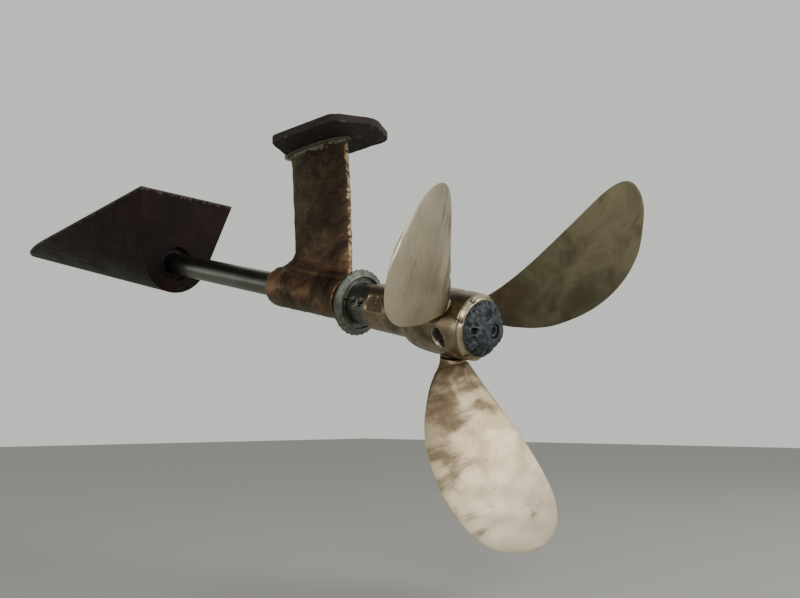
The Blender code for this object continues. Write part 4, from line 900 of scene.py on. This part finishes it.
def makeAnode(shape):
    base, bore = shape["base"], shape["bore"]
    tip = base + shape["length"]
    recess = tip - shape["recessDepth"]
    corners = [(radius, base + shape["length"] * part) for radius, part in shape["outline"]]
    corners += [(shape["recess"], tip), (shape["recess"], recess), (bore, recess), (bore, base)]
    cuts = [0.0006, 0.0015, 0.0015, 0.0030, 0.0030, 0.0015, 0.0015, 0.0010, 0.0010, 0.0004, 0.0004]
    profile = softProfile(corners, cuts, 0.0006, closed=True)
    profile = thinned(profile, (profile[:, 1] < base + 0.00001) | (profile[:, 0] < bore + 0.00001))
    grid = turnedGrid(profile, 288)
    radius, turns = polar(grid)
    skin = smooth(grid[..., 2], base + 0.0005, base + 0.004) * smooth(radius, 0.0085, 0.0115)
    lumps = ripple(grid, shape["lumpSize"], 11) + 0.5 * ripple(grid, shape["lumpSize"] / 2.1, 12)
    lumps += 0.12 * ripple(grid, shape["lumpSize"] / 5, 13)
    eaten = shape["lump"] * np.clip(0.65 - lumps, 0, 1.8) * skin
    # one side is scoured deeper: depth * max(0, cos(turn from its middle)) over the cone's length
    middle, depth = shape["scour"]
    side = np.maximum(0, np.cos(turns - math.radians(middle)))
    eaten += depth * side * skin * smooth(grid[..., 2], base + 0.004, base + 0.012)
    # sea water eats into the skin: 0.75 toward the shaft and 0.66 forward along it
    inward = np.stack((grid[..., 0] / radius * 0.75, grid[..., 1] / radius * 0.75, 0.66 + 0 * radius), -1)
    grid = grid - inward * eaten[..., None]
    seats = [turnedAbout(np.array((shape["screwCircle"], 0, base + shape["screwSeat"])),
                         math.radians(shape["screwTurn"] + 120 * k)) for k in range(3)]
    for x, y, floor in seats:
        away = np.hypot(grid[..., 0] - x, grid[..., 1] - y)
        sunk = (away < shape["screwPocket"]) & (grid[..., 2] > floor) & (radius > 0.012)
        grid[..., 2] = np.where(sunk, floor, grid[..., 2])
    makeShell("anode_skin", "anode_cone", grid, "ring", zinc, "zinc", passes=30, sharp=60)
    proud = np.array((0, 0, 0.0003))
    for k in range(3):
        makeScrew(f"anode_screw_skin_{k + 1}", f"anode_screw_{k + 1}", seats[k] + proud, (0, 0, 1),
                  shape["screw"])
    makeScrew("anode_bolt_skin", "anode_bolt", proud + (0, 0, recess), (0, 0, 1), shape["bolt"])


makeAnode(anodeShape)
print("hub and anode made")

# Blades: root turned about the spindle, a neck that leans aft, and a raked, twisted leaf between a
# leading and a trailing edge, given as (along, across) from the leaf's own axis
bladeShape = {"firstBlade": -79, "spindle": 0.0140,
              "root": ((0.0001, 0.0270), (0.0200, 0.0270), (0.0200, 0.0315), (0.0150, 0.0315),
                       (0.0150, 0.0430), (0.0146, 0.0436)),
              "neck": (-0.0050, 0.0060, 0.0440), "neckRadius": 0.0160, "neckRise": 0.0040,
              "rake": 34.2, "forward": 0.0160, "pitch": 11.4, "pitchAt": 0.150, "untwist": 4.9,
              "untwistLength": 0.100, "bow": -0.0052, "bowStart": 0.060,
              "leading": ((0.061, -0.0415), (0.074, -0.0545), (0.090, -0.0670), (0.118, -0.084),
                          (0.150, -0.0935), (0.201, -0.093), (0.246, -0.075), (0.279, -0.042),
                          (0.2955, 0.001), (0.300, 0.024)),
              "trailing": ((0.061, 0.0095), (0.090, 0.018), (0.122, 0.030), (0.182, 0.055),
                           (0.238, 0.075), (0.268, 0.0775), (0.287, 0.068), (0.298, 0.046), (0.300, 0.024)),
              "thickness": (0.0150, 0.0085, 0.0030), "middlePart": 0.45, "tipRounding": 0.06,
              "edge": 0.0011, "footRound": (0.75, 0.10), "trim": (0.9985, 0.9975), "wave": 0.0003,
              "waveSize": 0.032, "waveStretch": (0.6, 1, 0.3), "rootLump": 0.0014, "rootLumpSize": 0.021,
              # the per blade film shares: an olive tone and painted shade on each blade, all over the leaf
              # and a little more toward the root
              "neckSteps": 16, "neckBlend": 1.3, "rings": 150, "around": 128, "filmAndShadeByBlade": (0.0, 1.0, 0.42),
              # buffed: how strong the painted tip highlight is on each blade
              "filmAndShadeShare": (0.82, 0.18), "buffed": (1.0, 0.0, 0.7), "lookShift": (0.7, 0.4, 0)}


def smoothEdge(points, count):
    # Catmull-Rom curve through the points, then stations at an even distance along it
    points = np.array(points, float)
    padded = np.vstack((points[:1], points, points[-1:]))
    part = np.linspace(0, 1, 24, endpoint=False)[:, None]
    run = []
    for k in range(1, len(points)):
        a, b = padded[k], padded[k + 1]
        first, second = a + (b - padded[k - 1]) / 6, b - (padded[k + 2] - a) / 6
        run.append((1 - part) ** 3 * a + 3 * (1 - part) ** 2 * part * first
                   + 3 * (1 - part) * part ** 2 * second + part ** 3 * b)
    run = np.vstack(run + [points[-1:]])
    reach = distances(run)
    marks = np.linspace(0, reach[-1], count)
    return np.column_stack([np.interp(marks, reach, run[:, i]) for i in (0, 1)])


def leafPoints(shape, along, across, lift):
    # place = spindle offset + out * along + face * bow + chord * across + normal * lift, where chord and
    # normal turn about out by the pitch, which falls off along the leaf
    rake = math.radians(shape["rake"])
    out = np.array((0, math.sin(rake), math.cos(rake)))
    side = np.array((1.0, 0, 0))
    face = np.cross(out, side)
    untwist = shape["untwist"] * (along - shape["pitchAt"]) / shape["untwistLength"]
    pitch = np.radians(shape["pitch"] - untwist)
    bow = shape["bow"] * ((along - shape["bowStart"]) / shape["untwistLength"]) ** 2
    chord = side * np.cos(pitch)[..., None] + face * np.sin(pitch)[..., None]
    normal = face * np.cos(pitch)[..., None] - side * np.sin(pitch)[..., None]
    return (np.array((0, -shape["forward"], 0)) + out * along[..., None] + face * bow[..., None]
            + chord * across[..., None] + normal * lift[..., None])


def bladeGrid(shape, seed):
    rings, around = shape["rings"], shape["around"]
    leading, trailing = smoothEdge(shape["leading"], rings), smoothEdge(shape["trailing"], rings)
    turns = np.linspace(0, 2 * np.pi, around, endpoint=False)
    share = ((np.cos(turns) + 1) / 2)[None, :, None]
    edge = leading[:, None] * (1 - share) + trailing[:, None] * share
    part = np.linspace(0, 1, rings)
    root, middle, tip = shape["thickness"]
    thick = np.interp(part, (0, shape["middlePart"], 1), (root, middle, tip))
    thick *= np.minimum(1, np.sqrt((1 - part) / shape["tipRounding"]))
    # lens section: half thickness * sine squared, with a rounded edge * sine, nearly round at the neck
    much, reach = shape["footRound"]
    lens = 1 - much * np.exp(-part / reach)
    sine = np.sin(turns)[None, :]
    edgePart = np.minimum(1, 2 * shape["edge"] / np.maximum(thick, 1e-9))[:, None]
    edgePart = 1 - (1 - edgePart) * lens[:, None]
    lift = thick[:, None] / 2 * ((1 - edgePart) * np.sign(sine) * sine ** 2 + edgePart * sine)
    edge = leading[0] + (edge - leading[0]) * shape["trim"]
    along, across = edge[..., 0], edge[..., 1]
    own = np.stack((across, along, lift), -1)
    fade = (np.abs(sine) * smooth(part, 0.02, 0.2)[:, None] * (1 - smooth(part, 0.9, 1.0)[:, None]))
    lift = lift + shape["wave"] * ripple(own * shape["waveStretch"], shape["waveSize"], seed) * fade
    dressed = np.abs(sine) * (1 - smooth(part, 0.02, 0.22)[:, None]) * smooth(part, 0, 0.03)[:, None]
    lift = lift + shape["rootLump"] * ripple(own, shape["rootLumpSize"], seed + 9) * dressed * np.sign(sine)
    leaf = leafPoints(shape, along, across, lift)
    # neck: a circle over the port swept along a bend into the first leaf section
    foot, middle = np.array(shape["neck"]), leaf[0].mean(0)
    bend = foot + np.array((0, 0, shape["neckRise"]))
    up = np.linspace(0, 1, shape["neckSteps"], endpoint=False)[:, None, None]
    path = (1 - up) ** 2 * foot + 2 * up * (1 - up) * bend + up ** 2 * middle
    circle = shape["neckRadius"] * np.stack((np.cos(turns), np.sin(turns), 0 * turns), -1)
    blend = up ** shape["neckBlend"]
    neck = path + circle * (1 - blend) + (leaf[0] - middle) * blend
    profile = softProfile(shape["root"], 0.0005, 0.004)
    socket = turnedGrid(profile, around)
    grid = np.concatenate((socket, neck, leaf[:-1]))
    ownRoot = np.stack((0 * socket[..., 0], socket[..., 2], socket[..., 0]), -1)
    ownNeck = np.stack((neck[..., 0], neck[..., 2] + 0.008, 0 * neck[..., 0]), -1)
    # darker brown: full at the root, fading by 0.42 of the leaf, and longer along the leading edge
    toRoot = (1 - smooth(part, 0.0, 0.42)[:, None]) * (1 - 0.4 * smooth(across, -0.02, 0.05))
    toRoot = np.maximum(toRoot, 0.45 * smooth(-across, -0.01, 0.07) * (1 - smooth(part, 0.5, 0.8)[:, None]))
    toRoot = np.concatenate((np.ones(socket.shape[:2]), np.full(neck.shape[:2], 0.5), toRoot[:-1]))
    toTip = np.concatenate((np.zeros(len(socket) + len(neck)), smooth(part, 0.35, 1.0)[:-1]))
    return grid, np.concatenate((ownRoot, ownNeck, own[:-1])), toRoot, toTip


def makeBlades(shape):
    for number, body in enumerate(("first_blade", "second_blade", "third_blade")):
        grid, own, toRoot, toTip = bladeGrid(shape, 21 + number)
        turn = math.radians(shape["firstBlade"] + 120 * number)
        grid = grid @ turnedAbout(np.eye(3)[[1, 2, 0]], turn) + (0, 0, shape["spindle"])
        own = own + number * np.array(shape["lookShift"])
        # the tip mark: a painted highlight that grows toward each tip
        marks = {"own": own, "root": toRoot, "tipHighlight": shape["buffed"][number] * toTip[:, None] + 0 * toRoot,
                 # the film mark: the olive tone and painted shade, by each blade's share
                 "film": shape["filmAndShadeByBlade"][number] * (shape["filmAndShadeShare"][0] + shape["filmAndShadeShare"][1] * toRoot)}
        makeShell(f"blade_skin_{number + 1}", f"blade_{number + 1}", grid, "point", bladeBronze,
                  "blade_bronze", body, marks, passes=5, sharp=45)


makeBlades(bladeShape)
print("blades made")

# Fittings: the bearing's set screw, and the uneven bead of sealant under the palm
setScrewShape = {"place": (-0.0260, 0, -0.301), "axis": (-1, 0, 0),
                 "sizes": (0.0034, 0.0036, 0.0001, 0.00306)}
makeScrew("set_screw_skin", "bearing_set_screw", *setScrewShape.values(), screwSteel, "strut")

sealantShape = {"voxel": 0.0008, "rounding": 3, "lump": 0.0006, "lumpSize": 0.009, "blobPlace": 0.098,
                "blobReach": 0.011, "blob": 0.0030}


def makeSealant(shape):
    piece = castCopy("sealant_skin", "arm_sealant", shape["voxel"], shape["rounding"])
    pushOut(piece, lambda points: shape["lump"] * ripple(points, shape["lumpSize"], 31)
            + shape["blob"] * np.exp(-((points[:, 1] - shape["blobPlace"]) / shape["blobReach"]) ** 2)
            * (points[:, 2] < -0.0135))
    finishPiece(piece, "arm_sealant", sealant, "strut", 70)


makeSealant(sealantShape)

# Studio: a pale floor, a pale world that darkens overhead, and large soft lights
studioLook = {"floorHeight": -0.640, "floorSize": 12.0, "horizon": "#dcddd9", "shade": "#33322e",
              "shadeWay": (-0.450, 0.250, 0.857), "floor": "#c9c8c2"}


def makeStudio(look):
    half = look["floorSize"] / 2
    mesh = bpy.data.meshes.new("floor")
    corners = [(x * half, y * half, look["floorHeight"]) for x, y in ((-1, -1), (1, -1), (1, 1), (-1, 1))]
    mesh.from_pydata(corners, [], [(0, 1, 2, 3)])
    floor = newPiece("floor", mesh)
    material, add = newMaterial("pale paper")
    mesh.materials.append(finishMaterial(material, add, (), Base_Color=tone(look["floor"]), Roughness=0.9))
    world = bpy.data.worlds.new("studio")
    world.use_nodes = True
    tree = world.node_tree
    way = addNode(tree, "TexCoord", out="Generated")
    toward = addNode(tree, "VectorMath", (way, look["shadeWay"]), 1, operation="DOT_PRODUCT")
    sky = addNode(tree, "ValToRGB", [toward], stops=(
        (0.0, look["horizon"]), (0.52, look["horizon"]), (0.80, look["shade"])))
    tree.links.new(sky, tree.nodes["Background"].inputs["Color"])
    tree.nodes["Background"].inputs["Strength"].default_value = 1.0
    bpy.context.scene.world = world


lightPlaces = {"key": ((-1.6, -2.0, 0.3), 14, 1.0), "low fill": ((-1.6, 0.0, -0.50), 5, 0.5),
               "stern top": ((0.95, -2.2, 0.35), 22, 1.2)}


def makeLights(places):
    for name, (location, power, size) in places.items():
        lamp = bpy.data.objects.new(name, bpy.data.lights.new(name, "AREA"))
        lamp.data.energy = power
        lamp.data.size = size
        lamp.location = location
        target = Vector((0, -0.2, -0.28))
        lamp.rotation_euler = (lamp.location - target).to_track_quat("Z", "Y").to_euler()
        bpy.context.scene.collection.objects.link(lamp)


makeStudio(studioLook)
makeLights(lightPlaces)
print("studio made")
